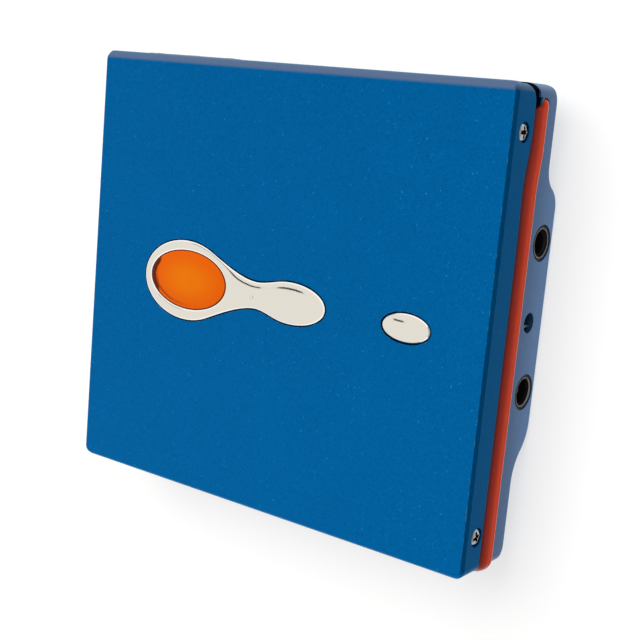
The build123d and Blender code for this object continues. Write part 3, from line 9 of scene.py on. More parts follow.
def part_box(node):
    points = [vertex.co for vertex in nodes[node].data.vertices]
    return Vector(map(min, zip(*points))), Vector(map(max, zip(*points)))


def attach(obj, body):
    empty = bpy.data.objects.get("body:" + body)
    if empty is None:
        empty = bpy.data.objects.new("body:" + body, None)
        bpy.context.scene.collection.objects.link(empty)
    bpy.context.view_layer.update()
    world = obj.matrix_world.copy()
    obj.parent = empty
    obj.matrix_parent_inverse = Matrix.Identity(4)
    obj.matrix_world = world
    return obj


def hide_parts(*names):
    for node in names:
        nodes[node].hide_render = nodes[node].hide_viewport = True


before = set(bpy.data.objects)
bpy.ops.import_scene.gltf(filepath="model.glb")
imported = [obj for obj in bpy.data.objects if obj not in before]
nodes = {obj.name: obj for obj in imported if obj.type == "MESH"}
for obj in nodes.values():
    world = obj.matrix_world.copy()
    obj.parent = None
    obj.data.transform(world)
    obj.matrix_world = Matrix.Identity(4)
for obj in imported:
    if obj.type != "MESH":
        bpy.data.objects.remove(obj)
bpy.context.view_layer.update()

scene = bpy.context.scene
MM = 0.001

# ---- sizes in millimetres
LID_TOP = 17.1
KEY_SEAT = 16.62
KEY_GAP, LENS_GAP = 0.1, 0.05
RING_CENTRE, RING_RADII = (-18.3, -0.65), (9.6, 6.96)
BULB_CENTRE, BULB_RADII = (4.6, -0.78), (7.0, 3.56)
RING_OPENING, BULB_OPENING = 58.0, 110.0
NECK_UPPER = ((-2.6, 1.68), (-5.9, 2.2))
NECK_LOWER = ((-5.6, -3.52), (-2.4, -3.06))
PLATE_SPACING, PLATE_INSETS, ROW_STEP = 0.34, (0.03, 0.08, 0.16, 0.28, 0.44), 0.866
LENS_CENTRE, LENS_RADII = (-17.83, -0.52), (8.6, 5.1)
STOP_CENTRE, STOP_RADII = (26.65, -0.75), (4.45, 2.38)
DOT_CENTRE, DOT_RADIUS, DOT_SEAT = (-3.3, -1.0), 0.42, 0.38
LID_SCREWS = [(side * 40.62, y, 13.74) for side in (-1, 1) for y in (-30.9, 30.1)]
BACK_SCREWS = [(x, y, 4.2) for x in (-34.6, 34.6) for y in (-30.9, 29.6)]
SCREW_RADIUS, COLLAR_RADIUS, RECESS_DEPTH = 1.25, 0.93, 0.3
RECESS_REACH, RECESS_HALF, RECESS_FILLET = 0.98, 0.22, 0.34
JACKS = ((13.7, 1.775), (-9.6, 2.0))
JACK_HEIGHT = 3.75
HALF_WIDTH = 40.95
SPINDLE_Y, COIL_CIRCLE = -3.0, 5.4
HINGE_Y, HINGE_Z = 34.3, 14.6
SPRING_X, SPRING_LENGTH, SPRING_RADIUS = 34.95, 3.2, 1.12
LEAD_SCREW_Y, LEAD_SCREW_Z = -16.6, 5.6
SHAFT_RADIUS, SHAFT_TIP_RADIUS, SHAFT_TIP, THREAD_START, THREAD_PITCH = 0.75, 0.6, 0.15, 0.6, 3.0
BAND_X, BAND_FRONT, BAND_REAR, BAND_CORNER = 40.25, -37.1, 34.1, 1.5
BAND_END_HEIGHT, BEAD_HEIGHT, LIP_HEIGHT, FRONT_LIP_HEIGHT = 8.0, 8.7, 11.8, 14.7
BEAD_RADIUS, LIP_FOOT, LIP_REACH, BAND_BACK = 1.1, 0.35, 1.04, -0.35
LIP_SHARE = 0.45
POCKET_HALF, POCKET_CORNER, POCKET_X = 1.14, 1.12, 39.3
KNOB_RIB_PITCH, KNOB_RIB_FOOT = 0.62, 0.22
VOLUME_PLACE, VOLUME_MARK_FOOT = (-28.9, 37.1, 7.1), 0.375
CHIPS_X, CHIPS_Y, CHIP_LEG_HEIGHT = (-20.0, -4.0, 12.0), -29.6, 5.6
CHIP_LEGS, CHIP_LEG_PITCH, CHIP_LEG_REACH = 14, 0.56, 4.78


def linked(name, data):
    """New object in the scene."""
    item = bpy.data.objects.new(name, data)
    scene.collection.objects.link(item)
    return item


# ---- node trees
def new_tree(owner):
    """Empty node tree of a material or world."""
    owner.use_nodes = True
    owner.node_tree.nodes.clear()
    return owner.node_tree


def new_material(name):
    """Material with its empty node tree."""
    material = bpy.data.materials.new(name)
    return material, new_tree(material)


def feed(tree, socket, source):
    """Links a socket or a node's first output into a socket, or sets it to a plain value."""
    if isinstance(source, bpy.types.Node):
        source = source.outputs[0]
    if isinstance(source, bpy.types.NodeSocket):
        tree.links.new(source, socket)
    else:
        socket.default_value = source


def node(tree, kind, *ordered, **named):
    """New node: inputs in order, then settings (lower case) and inputs (capitals) by name."""
    made = tree.nodes.new(kind if "Node" in kind else "ShaderNode" + kind)
    for label, value in named.items():
        if label.islower():
            setattr(made, label, value)
    for place, source in enumerate(ordered):
        feed(tree, made.inputs[place], source)
    for label, source in named.items():
        if not label.islower():
            feed(tree, made.inputs[label.replace("_", " ")], source)
    return made


def calc(tree, operation, *values):
    """Math node."""
    return node(tree, "Math", *values, operation=operation)


def smooth(tree, value, low, high):
    """Smooth rise from 0 at low to 1 at high."""
    return node(tree, "MapRange", value, low, high, interpolation_type="SMOOTHSTEP")


def own_place(tree):
    """Object coordinates."""
    return node(tree, "TexCoord").outputs["Object"]


# ---- camera, floor and light
def product_camera():
    """Camera above the lid's front right corner, looking down on the lid."""
    data = bpy.data.cameras.new("product_camera")
    data.sensor_width = 36.0
    data.lens = 68.55
    data.clip_start, data.clip_end = 0.01, 20.0
    camera = scene.camera = linked("product_camera", data)
    right = Vector((0.80253, 0.08815, -0.59006)).normalized()
    back = right.cross(Vector((-0.17914, 0.97899, -0.09738))).normalized()
    turn = Matrix((right, back.cross(right), back)).transposed()
    camera.matrix_world = Matrix.Translation((0.12113, 0.03330, 0.17265)) @ turn.to_4x4()


def key_softbox():
    """Area lamp behind and above the player, aimed at its middle and left out of its mirrors."""
    data = bpy.data.lights.new("key_softbox", "AREA")
    data.shape = "RECTANGLE"
    data.size, data.size_y = 0.8, 0.6
    data.energy = 6.0
    data.color = (1.0, 0.98, 0.95)
    lamp = linked("key_softbox", data)
    lamp.location = (-0.12, 0.42, 0.75)
    aim = Vector((0, 0, 0.01)) - lamp.location
    lamp.rotation_euler = aim.to_track_quat("-Z", "Y").to_euler()
    lamp.visible_glossy = False


def flat_mesh(name, corners, material):
    """One four-cornered face that belongs to the studio."""
    mesh = bpy.data.meshes.new(name)
    mesh.from_pydata(corners, [], [(0, 1, 2, 3)])
    mesh.materials.append(material)
    item = linked(name, mesh)
    return item


def background_rays(tree):
    """1 where the camera, a reflection or a clear piece looks at the background."""
    rays = node(tree, "LightPath").outputs
    either = calc(tree, "MAXIMUM", rays["Is Camera Ray"], rays["Is Glossy Ray"])
    return calc(tree, "MAXIMUM", either, rays["Is Transmission Ray"])


def white_world(strength):
    """White behind the player and in its reflections, and a plain grey sky light on it."""
    scene.world = bpy.data.worlds.new("studio")
    tree = new_tree(scene.world)
    lit, seen = (node(tree, "Background", (1, 1, 1, 1), level) for level in (strength, 1.0))
    node(tree, "OutputWorld", node(tree, "MixShader", background_rays(tree), lit, seen))


def pale_floor(glow, colour, white_from, white_at):
    """Pale table top that shows white, keeps the player's shadow and is clear from below."""
    material, tree = new_material("floor_white")
    matt = node(tree, "BsdfDiffuse", (0.8, 0.8, 0.8, 1))
    near = node(tree, "BsdfPrincipled", Base_Color=(colour, colour, colour, 1), Roughness=1.0,
                Specular_IOR_Level=0.0, Emission_Color=(1, 1, 1, 1), Emission_Strength=glow)
    away = node(tree, "VectorMath", own_place(tree), operation="LENGTH").outputs["Value"]
    shown = node(tree, "MixShader", smooth(tree, away, white_from, white_at), near, node(tree, "Emission"))
    above = node(tree, "MixShader", background_rays(tree), matt, shown)
    below = node(tree, "NewGeometry").outputs["Backfacing"]
    node(tree, "OutputMaterial", node(tree, "MixShader", below, above, node(tree, "BsdfTransparent")))
    flat_mesh("floor", [(-3, -3, -1e-4), (3, -3, -1e-4), (3, 3, -1e-4), (-3, 3, -1e-4)], material)


def studio_card(name, corners, near, far, reach):
    """Card seen only in reflections, its glow fading from near to far over a distance along X."""
    material, tree = new_material(name)
    across = node(tree, "SeparateXYZ", own_place(tree))
    fade = node(tree, "MapRange", across, *reach, near, far)
    node(tree, "OutputMaterial", node(tree, "Emission", Strength=fade))
    card = flat_mesh(name, corners, material)
    card.visible_camera = card.visible_diffuse = card.visible_shadow = False


# ---- shader groups
def shader_group(fill, values, outputs):
    """Shader group with a Vector input, named values and named outputs, filled by a function."""
    tree = bpy.data.node_groups.new(fill.__name__, "ShaderNodeTree")
    tree.interface.new_socket("Vector", in_out="INPUT", socket_type="NodeSocketVector")
    for label, value in values.items():
        socket = tree.interface.new_socket(label, in_out="INPUT", socket_type="NodeSocketFloat")
        socket.default_value = value
    for label in outputs:
        kind = "NodeSocketVector" if label == "Normal" else "NodeSocketFloat"
        tree.interface.new_socket(label, in_out="OUTPUT", socket_type=kind)
    given = {socket.name: socket for socket in tree.nodes.new("NodeGroupInput").outputs}
    out = tree.nodes.new("NodeGroupOutput")
    for label, source in zip(outputs, fill(tree, given)):
        feed(tree, out.inputs[label], source)
    return tree


def texture(tree, given, kind, scale, **more):
    """Texture of the group's vector at one of its scales."""
    return node(tree, "Tex" + kind, Vector=given["Vector"], Scale=given[scale + " per Metre"], **more)


def metal_flake(tree, given):
    """Fine metallic flakes: a shade for each flake, and rare bright glints."""
    flakes = texture(tree, given, "Voronoi", "Flakes")
    parts = node(tree, "SeparateColor", flakes.outputs["Color"])
    cloud = texture(tree, given, "Noise", "Cloud", Detail=2.0)
    shade = node(tree, "Mix", Factor=given["Cloud"], A=parts, B=cloud)
    return shade, node(tree, "MapRange", parts.outputs["Green"], 0.993, 1.0)


def moulded_grain(tree, given):
    """Spark-eroded grain of a moulding, with slow flow marks."""
    grain = texture(tree, given, "Noise", "Grain", Detail=3.0)
    flow = texture(tree, given, "Noise", "Flow", Distortion=0.8)
    return node(tree, "Mix", Factor=0.4, A=flow, B=grain), grain


def drawn_lines(tree, given):
    """Fine lines drawn along X, as on rolled or brushed sheet."""
    squeeze = node(tree, "CombineXYZ", given["Stretch"], 1.0, 1.0)
    along = node(tree, "VectorMath", given["Vector"], squeeze, operation="MULTIPLY")
    lines = node(tree, "TexNoise", Vector=along, Scale=given["Lines per Metre"], Detail=4.0, Roughness=0.6)
    return lines, lines


def turned_rings(tree, given):
    """Concentric lathe marks round the vertical axis of the vector."""
    rings = texture(tree, given, "Wave", "Rings", Detail=2.0, Distortion=given["Waver"],
                    wave_type="RINGS", rings_direction="Z").outputs["Fac"]
    return rings, rings


def board_tracks(tree, given):
    """Copper tracks under the solder mask of a circuit board."""
    second, first = (texture(tree, given, "Voronoi", "Tracks", Randomness=0.85, distance="MANHATTAN",
                             feature=which) for which in ("F2", "F1"))
    track = calc(tree, "LESS_THAN", calc(tree, "SUBTRACT", second, first), given["Track Width"])
    return track, track


def handling_marks(tree, given):
    """Sparse dust specks and short hairline scratches from use."""
    spots = texture(tree, given, "Voronoi", "Specks")
    lottery = node(tree, "SeparateColor", spots.outputs["Color"])
    specks = calc(tree, "MULTIPLY", calc(tree, "LESS_THAN", lottery.outputs["Blue"], given["Share"]),
                  calc(tree, "LESS_THAN", spots, given["Speck Size"]))
    slant = node(tree, "VectorRotate", Vector=given["Vector"], Angle=0.7, rotation_type="Z_AXIS")
    narrow = node(tree, "VectorMath", slant, (60.0, 2600.0, 300.0), operation="MULTIPLY")
    hair = node(tree, "TexNoise", Vector=narrow, Scale=1.0, Detail=1.0)
    return specks, node(tree, "MapRange", hair, 0.76, 0.82)


def soft_edges(tree, given):
    """Rounded normals at sharp edges, and a mask of the edges that rub."""
    rounded = node(tree, "Bevel", given["Radius"], samples=4)
    bend = node(tree, "VectorMath", rounded, node(tree, "NewGeometry").outputs["Normal"],
                operation="DOT_PRODUCT").outputs["Value"]
    rub = texture(tree, given, "Noise", "Rub", Detail=3.0)
    wear = calc(tree, "MULTIPLY", node(tree, "MapRange", bend, 0.985, 0.85),
                node(tree, "MapRange", rub, 0.52, 0.66))
    return wear, rounded


def rear_edge(tree, given):
    """Mask that comes in over the last stretch of the lid before the hinge, where the lid finish paints a
    grazing sheen.
    """
    at = node(tree, "SeparateXYZ", given["Vector"]).outputs
    return (smooth(tree, at["Y"], given["From"], given["To"]),)


def hinge_gap(tree, given):
    """Mask of the casing's inner faces in the gaps at the two ends of the hinge, where the base finish paints
    shade.
    """
    at = node(tree, "SeparateXYZ", given["Vector"]).outputs
    mask = calc(tree, "LESS_THAN", calc(tree, "ABSOLUTE", at["X"]), given["Side"])
    for axis, edge, side in (("Y", "Front", "GREATER_THAN"), ("Y", "Rear", "LESS_THAN"),
                             ("Z", "Top", "GREATER_THAN")):
        mask = calc(tree, "MULTIPLY", mask, calc(tree, side, at[axis], given[edge]))
    return (mask,)


shader_groups = {fill.__name__: shader_group(fill, values, outputs) for fill, values, outputs in (
    (metal_flake, {"Flakes per Metre": 5200.0, "Cloud per Metre": 90.0, "Cloud": 0.25}, ("Shade", "Glint")),
    (moulded_grain, {"Grain per Metre": 9000.0, "Flow per Metre": 140.0}, ("Shade", "Height")),
    (drawn_lines, {"Lines per Metre": 9000.0, "Stretch": 0.03}, ("Shade", "Height")),
    (turned_rings, {"Rings per Metre": 2600.0, "Waver": 0.35}, ("Shade", "Height")),
    (board_tracks, {"Tracks per Metre": 520.0, "Track Width": 0.16}, ("Shade", "Height")),
    (handling_marks, {"Specks per Metre": 380.0, "Speck Size": 0.035, "Share": 0.03},
     ("Specks", "Scratches")),
    (soft_edges, {"Radius": 0.0001, "Rub per Metre": 700.0}, ("Wear", "Normal")),
    (rear_edge, {"From": 0.0357, "To": 0.0363}, ("Mask",)),
    (hinge_gap, {"Side": 0.0406, "Front": 0.0339, "Rear": 0.0364, "Top": 0.0091}, ("Mask",)),
)}


# ---- finishes
def use_group(tree, name, vector, **values):
    """A shader group placed in a material's tree with its own values."""
    return node(tree, "Group", node_tree=shader_groups[name], Vector=vector, **values)


def tinted(tree, factor, first, second):
    """Colour mix of two colours or sockets by a mask."""
    mix = node(tree, "Mix", factor, data_type="RGBA")
    for place, colour in ((6, first), (7, second)):
        feed(tree, mix.inputs[place], (*colour, 1) if isinstance(colour, tuple) else colour)
    return mix.outputs[2]


def finish(name, pattern, colours, roughness, metallic=0.0, bump=0.0, values=None, centre=(0, 0, 0),
           turn=(0, 0, 0), edge_radius=0.0001, worn=None, specks=None, patches=(), across=(), **sockets):
    """Material from one pattern group: two colours, two roughnesses, bump, worn edges and specks.

    patches are mask groups with a colour each, here painted sheen and painted shade; across is colours by the
    piece's own "across" attribute, here painted shade and painted highlights, each with the values where it
    starts and where it is full.
    """
    material, tree = new_material(name)
    place = own_place(tree)
    at = node(tree, "Mapping", place, [-MM * c for c in centre], turn)
    field = use_group(tree, pattern, at, **(values or {})).outputs
    edges = use_group(tree, "soft_edges", place, Radius=edge_radius).outputs
    colour = tinted(tree, field["Shade"], *colours)
    rough = node(tree, "MapRange", field["Shade"], To_Min=roughness[0], To_Max=roughness[1])
    if pattern == "metal_flake":
        glint = tuple(min(1.0, 1.5 * c + 0.01) for c in colours[1])
        colour = tinted(tree, field["Glint"], colour, glint)
    for mask, tone in patches:
        colour = tinted(tree, use_group(tree, mask, place), colour, tone)
    for tone, none, full in across:
        width = node(tree, "Attribute", attribute_name="across").outputs["Fac"]
        colour = tinted(tree, smooth(tree, width, none, full), colour, tone)
    if worn:
        colour = tinted(tree, edges["Wear"], colour, worn)
    if specks:
        marks = use_group(tree, "handling_marks", place).outputs
        colour = tinted(tree, marks["Specks"], colour, specks)
        rough = calc(tree, "MULTIPLY_ADD", marks["Scratches"], 0.08, rough)
    normal = edges["Normal"]
    if bump:
        normal = node(tree, "Bump", Strength=0.5, Distance=bump * MM, Height=field["Height"], Normal=normal)
    node(tree, "OutputMaterial", node(tree, "BsdfPrincipled", Base_Color=colour, Roughness=rough,
                                      Metallic=metallic, Normal=normal, **sockets))
    return material


def lens_finish():
    """Clear orange lens: a dark line round its rim, a painted shadow down its left side, a painted dark
    refraction line and painted glints at its lower left, and a painted glow, paler and yellower towards the
    middle.
    """
    material, tree = new_material("lens_orange")
    place = own_place(tree)
    at = node(tree, "Mapping", place,
              (-LENS_CENTRE[0] / LENS_RADII[0], -LENS_CENTRE[1] / LENS_RADII[1], 0),
              Scale=(1 / (MM * LENS_RADII[0]), 1 / (MM * LENS_RADII[1]), 0))
    out = node(tree, "VectorMath", at, operation="LENGTH").outputs["Value"]
    x, y, _ = node(tree, "SeparateXYZ", at).outputs

    def times(first, second):
        return calc(tree, "MULTIPLY", first, second)

    lower_left = times(smooth(tree, x, 0.25, -0.6), smooth(tree, y, 0.3, -0.3))
    # A ring just inside the rim; at the lower left it carries a painted dark refraction line of the lens wall
    # and painted glints.
    inner_line = times(smooth(tree, out, 0.80, 0.85), smooth(tree, out, 0.91, 0.87))
    # Painted shadow of the chrome ring's wall down the lens's left side.
    painted_left_shadow = times(smooth(tree, x, -0.72, -0.80), smooth(tree, out, 0.84, 0.90))
    cloud = use_group(tree, "moulded_grain", place, Grain_per_Metre=1500.0, Flow_per_Metre=260.0)
    # Painted glints at the lower left of the inner ring.
    painted_glints = times(times(smooth(tree, cloud, 0.60, 0.72), inner_line), lower_left)
    # Painted glow: paler and yellower towards the middle, redder towards the rim.
    colour = tinted(tree, smooth(tree, out, 0.15, 0.95), (0.80, 0.18, 0.0), (0.76, 0.115, 0.0))
    for mask, tone in (
        (times(cloud, 0.25), (0.60, 0.08, 0.0)),
        (painted_left_shadow, (0.10, 0.010, 0.001)),
        # Painted dark refraction line of the lens wall at the lower left.
        (times(times(inner_line, lower_left), 0.75), (0.30, 0.03, 0.002)),
        (painted_glints, (0.95, 0.50, 0.22)),
        (smooth(tree, out, 0.955, 0.975), (0.16, 0.022, 0.002)),
    ):
        colour = tinted(tree, mask, colour, tone)
    node(tree, "OutputMaterial", node(tree, "BsdfPrincipled", Base_Color=colour, Roughness=0.08,
                                      Specular_IOR_Level=0.05))
    return material


finishes = {"lens_orange": lens_finish()}
for name, pattern, colours, roughness, metallic, more in (
    ("lid_blue", "metal_flake", ((0.0004, 0.099, 0.285), (0.0012, 0.141, 0.4)), (0.34, 0.44), 1.0, dict(
        worn=(0.12, 0.28, 0.48), specks=(0.1, 0.24, 0.42), edge_radius=0.0002,
        # Painted sheen: the lid's rear rounding turns lavender-grey, as where light grazes it.
        patches=(("rear_edge", (0.115, 0.175, 0.3)),), Specular_Tint=(0.6, 0.85, 1.0, 1.0))),
    ("base_blue", "metal_flake", ((0.075, 0.165, 0.33), (0.1, 0.215, 0.42)), (0.4, 0.5), 1.0, dict(
        # Painted shade: the casing's inner faces at the hinge ends turn near-black navy.
        worn=(0.25, 0.35, 0.48), specks=(0.2, 0.3, 0.45), patches=(("hinge_gap", (0.002, 0.012, 0.04)),),
        Coat_Weight=0.1, Coat_Roughness=0.3)),
    ("trim_orange", "moulded_grain", ((0.62, 0.036, 0.002), (0.72, 0.05, 0.003)), (0.2, 0.28), 0.0, dict(
        # Painted shade in the groove under the lid's flange, dark red to near black, then a painted pale
        # highlight line along the bead, then orange again.
        across=(((0.36, 0.02, 0.004), 0.42, 0.24), ((0.04, 0.003, 0.009), 0.26, 0.06),
                ((0.97, 0.44, 0.34), 0.585, 0.63), ((0.66, 0.042, 0.003), 0.71, 0.77)),
        bump=0.003, specks=(0.65, 0.3, 0.2), Specular_IOR_Level=0.25)),
    ("chrome_plate", "drawn_lines", ((0.73, 0.69, 0.605), (0.8, 0.76, 0.68)), (0.05, 0.1), 1.0, dict(
        # Painted highlight: near-white along the keys' edges and bevels.
        specks=(0.3, 0.29, 0.27), values={"Stretch": 0.2}, across=(((0.99, 0.98, 0.96), 0.35, 0.9),))),
    ("steel", "drawn_lines", ((0.55, 0.55, 0.54), (0.74, 0.74, 0.72)), (0.2, 0.34), 1.0, dict(
        bump=0.004, worn=(0.75, 0.74, 0.72))),
    ("spring_steel", "drawn_lines", ((0.34, 0.34, 0.36), (0.48, 0.48, 0.49)), (0.24, 0.38), 1.0, dict(
        bump=0.002)),
    ("turned_steel", "turned_rings", ((0.5, 0.5, 0.51), (0.64, 0.64, 0.65)), (0.2, 0.34), 1.0, dict(
        bump=0.006, centre=(0, SPINDLE_Y, 0), worn=(0.75, 0.75, 0.76))),
    ("screw_steel", "drawn_lines", ((0.8, 0.78, 0.72), (0.95, 0.93, 0.88)), (0.1, 0.22), 1.0, dict(
        # Painted shade: the cross recess near black.
        bump=0.003, across=(((0.012, 0.011, 0.01), 0.98, 0.7),))),
    ("ring_metal", "turned_rings", ((0.22, 0.215, 0.2), (0.34, 0.33, 0.3)), (0.25, 0.36), 1.0, dict(
        bump=0.002, turn=(0, math.pi / 2, 0), worn=(0.5, 0.5, 0.5))),
    ("socket_black", "moulded_grain", ((0.003, 0.003, 0.004), (0.006, 0.006, 0.008)), (0.4, 0.55), 0.0, dict(
        bump=0.004, Specular_IOR_Level=0.2)),
    ("dark_plastic", "moulded_grain", ((0.01, 0.01, 0.012), (0.022, 0.022, 0.026)), (0.36, 0.5), 0.0, dict(
        bump=0.006, worn=(0.06, 0.06, 0.065))),
    ("grey_plastic", "moulded_grain", ((0.15, 0.155, 0.17), (0.2, 0.205, 0.22)), (0.38, 0.52), 0.0, dict(
        bump=0.006, worn=(0.3, 0.3, 0.32))),
    ("board_green", "board_tracks", ((0.006, 0.075, 0.03), (0.02, 0.14, 0.05)), (0.28, 0.36), 0.0, dict(
        bump=0.02, Coat_Weight=0.4, Coat_Roughness=0.15)),
    ("chip_black", "moulded_grain", ((0.012, 0.012, 0.013), (0.026, 0.026, 0.028)), (0.45, 0.6), 0.0, dict(
        bump=0.008, worn=(0.08, 0.08, 0.085))),
    ("copper", "turned_rings", ((0.55, 0.2, 0.09), (0.78, 0.34, 0.17)), (0.22, 0.36), 1.0, dict(
        bump=0.02, values={"Rings_per_Metre": 5200.0}, Coat_Weight=0.5, Coat_Roughness=0.1)),
    ("ferrite", "moulded_grain", ((0.03, 0.03, 0.034), (0.055, 0.055, 0.06)), (0.42, 0.55), 0.3, dict(
        bump=0.006)),
    ("nickel", "drawn_lines", ((0.56, 0.53, 0.49), (0.7, 0.67, 0.62)), (0.16, 0.28), 1.0, dict(
        bump=0.002, worn=(0.85, 0.82, 0.78))),
    ("cell_wrap", "moulded_grain", ((0.1, 0.115, 0.15), (0.13, 0.15, 0.19)), (0.26, 0.34), 0.0, dict(
        bump=0.006, Coat_Weight=0.5, Coat_Roughness=0.12)),
    ("optic", "moulded_grain", ((0.1, 0.1, 0.22), (0.16, 0.14, 0.34)), (0.03, 0.05), 0.0, dict(
        Coat_Weight=1.0, Coat_Roughness=0.02)),
    ("magnesium", "drawn_lines", ((0.33, 0.34, 0.35), (0.45, 0.46, 0.47)), (0.36, 0.5), 1.0, dict(
        bump=0.003, worn=(0.62, 0.62, 0.63))),
):
    finishes[name] = finish(name, pattern, colours, roughness, metallic, **more)

for cad_node in nodes.values():
    for slot in cad_node.material_slots:
        slot.material = finishes[slot.material.name.split(".")[0]]
# The strap bar takes the dark ring metal and the power jack's pin the dark ferrite finish as painted shade
# inside the strap recess and the socket.
for cad_name, coat in (
    ("rotor_cup", "turned_steel"), ("turntable", "turned_steel"), ("strap_bar", "ring_metal"),
    ("hinge_barrel", "magnesium"), ("power_jack_pin", "ferrite"), ("headphone_jack", "socket_black"),
    ("power_jack", "socket_black"),
):
    nodes[cad_name].material_slots[0].material = finishes[coat]


# ---- geometry node trees
def geometry_tree(name, values, make):
    """Geometry tree with named inputs and a Finish, ending in Realize Instances and Set Material."""
    tree = bpy.data.node_groups.new(name, "GeometryNodeTree")
    for label, value in {"Geometry": "Geometry", **values, "Finish": "Material"}.items():
        kind = value if isinstance(value, str) else {int: "Int", float: "Float", tuple: "Vector"}[type(value)]
        socket = tree.interface.new_socket(label, in_out="INPUT", socket_type=f"NodeSocket{kind}")
        if not isinstance(value, str):
            socket.default_value = value
    tree.interface.new_socket("Geometry", in_out="OUTPUT", socket_type="NodeSocketGeometry")
    given = {socket.name: socket for socket in tree.nodes.new("NodeGroupInput").outputs}
    out = tree.nodes.new("NodeGroupOutput")
    real = node(tree, "GeometryNodeRealizeInstances", make(tree, given))
    feed(tree, out.inputs[0], node(tree, "GeometryNodeSetMaterial", real, Material=given["Finish"]))
    return tree


def on_seats(tree, given):
    """One fastener on each seat, along the seat's facing, with its slot turned at random."""
    way = node(tree, "GeometryNodeInputNamedAttribute", Name="facing", data_type="FLOAT_VECTOR")
    upright = node(tree, "FunctionNodeAlignRotationToVector", Vector=way, axis="Z")
    chance = node(tree, "FunctionNodeRandomValue", Seed=given["Seed"]).outputs[1]
    spin = node(tree, "FunctionNodeAxisAngleToRotation", (0, 0, 1), calc(tree, "MULTIPLY", chance, math.tau))
    turn = node(tree, "FunctionNodeRotateRotation", upright, spin, rotation_space="LOCAL")
    source = node(tree, "GeometryNodeObjectInfo", given["Fastener"]).outputs["Geometry"]
    return node(tree, "GeometryNodeInstanceOnPoints", given["Geometry"], Instance=source, Rotation=turn)


def wound_wire(tree, given):
    """Round wire wound along Z, from one radius to another."""
    line = node(tree, "GeometryNodeCurveSpiral", given["Steps"], given["Turns"], given["Start Radius"],
                given["End Radius"], given["Length"])
    section = node(tree, "GeometryNodeCurvePrimitiveCircle", Resolution=8, Radius=given["Wire Radius"])
    return node(tree, "GeometryNodeCurveToMesh", line, section, Fill_Caps=True)


def in_a_row(tree, given):
    """The given shape repeated in a straight row."""
    places = node(tree, "GeometryNodeMeshLine", Count=given["Count"], Offset=given["Pitch"])
    return node(tree, "GeometryNodeInstanceOnPoints", places, Instance=given["Geometry"])


fastener_set = geometry_tree("fastener_set", {"Fastener": "Object", "Seed": 1}, on_seats)
wire_coil = geometry_tree("wire_coil", {
    "Turns": 6.0, "Start Radius": 0.001, "End Radius": 0.001, "Length": 0.003, "Wire Radius": 0.0002,
    "Steps": 24}, wound_wire)
repeat_row = geometry_tree("repeat_row", {"Count": 5, "Pitch": (0.001, 0.0, 0.0)}, in_a_row)


def grown(tree, mesh, **values):
    """Plain mesh that the tree makes from a mesh and its named inputs."""
    item = linked(tree.name, mesh)
    modifier = item.modifiers.new("grow", "NODES")
    modifier.node_group = tree
    for socket in tree.interface.items_tree:
        label = socket.name.replace(" ", "_")
        if socket.item_type == "SOCKET" and socket.in_out == "INPUT" and label in values:
            modifier[socket.identifier] = values[label]
    graph = bpy.context.evaluated_depsgraph_get()
    made = bpy.data.meshes.new_from_object(item.evaluated_get(graph), depsgraph=graph)
    bpy.data.objects.remove(item)
    return made


def coiled(turns, radii, length, wire, steps, metal):
    """Coil of wire along Z from one radius to another, its sizes in millimetres."""
    return grown(wire_coil, bpy.data.meshes.new("none"), Turns=turns, Start_Radius=radii[0] * MM,
                 End_Radius=radii[1] * MM, Length=length * MM, Wire_Radius=wire * MM, Steps=steps,
                 Finish=finishes[metal])


# ---- mesh helpers
def settle(name, mesh, body, slot, stands_for=(), smooth_angle=40.0, coats=()):
    """Puts a finished mesh in the player as a piece that rides on a body."""
    if not mesh.materials:
        for coat in coats or (slot,):
            mesh.materials.append(finishes[coat])
    mesh.name = name
    mesh.shade_smooth()
    mesh.set_sharp_from_angle(angle=math.radians(smooth_angle))
    piece = linked(name, mesh)
    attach(piece, body)
    if stands_for:
        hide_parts(*stands_for)


def closed_mesh(shape):
    """Mesh from a bmesh given in millimetres, with doubles merged and faces outwards."""
    bmesh.ops.remove_doubles(shape, verts=shape.verts, dist=1e-5)
    bmesh.ops.recalc_face_normals(shape, faces=shape.faces)
    bmesh.ops.scale(shape, vec=(MM, MM, MM), verts=shape.verts)
    mesh = bpy.data.meshes.new("piece")
    shape.to_mesh(mesh)
    shape.free()
    return mesh


def placed(mesh, place, *turns):
    """The mesh moved to a place in millimetres, after turns given as matrices."""
    matrix = Matrix.Translation(Vector(place) * MM)
    for turn in turns:
        matrix = matrix @ turn
    mesh.transform(matrix)
    if matrix.determinant() < 0:
        mesh.flip_normals()
    return mesh


def turn_about(axis, degrees):
    """Matrix of a turn about an axis through the origin."""
    return Matrix.Rotation(math.radians(degrees), 4, axis)


def one_mesh(parts):
    """One mesh out of several."""
    shape = bmesh.new()
    for part in parts:
        shape.from_mesh(part)
    whole = parts[0]
    whole.clear_geometry()
    shape.to_mesh(whole)
    shape.free()
    return whole


def laid(shape, loop, height):
    """Vertices of a flat loop at a height."""
    return [shape.verts.new((x, y, height)) for x, y in loop]


def skinned(shape, rings, closed=True):
    """The shape with faces from ring to ring of vertices, and over its two ends where closed."""
    for first, second in zip(rings, rings[1:]):
        for i in range(max(len(first), len(second))):
            shape.faces.new(list(dict.fromkeys((
                first[i % len(first)], first[(i + 1) % len(first)],
                second[(i + 1) % len(second)], second[i % len(second)]))))
    if closed:
        for ring in (rings[0][::-1], rings[-1]):
            if len(ring) > 2:
                shape.faces.new(ring)
    return shape


def loop_edges(loops):
    """Index pairs round each closed loop, all points numbered in one run."""
    edges, start = [], 0
    for loop in loops:
        edges += [(start + i, start + (i + 1) % len(loop)) for i in range(len(loop))]
        start += len(loop)
    return edges


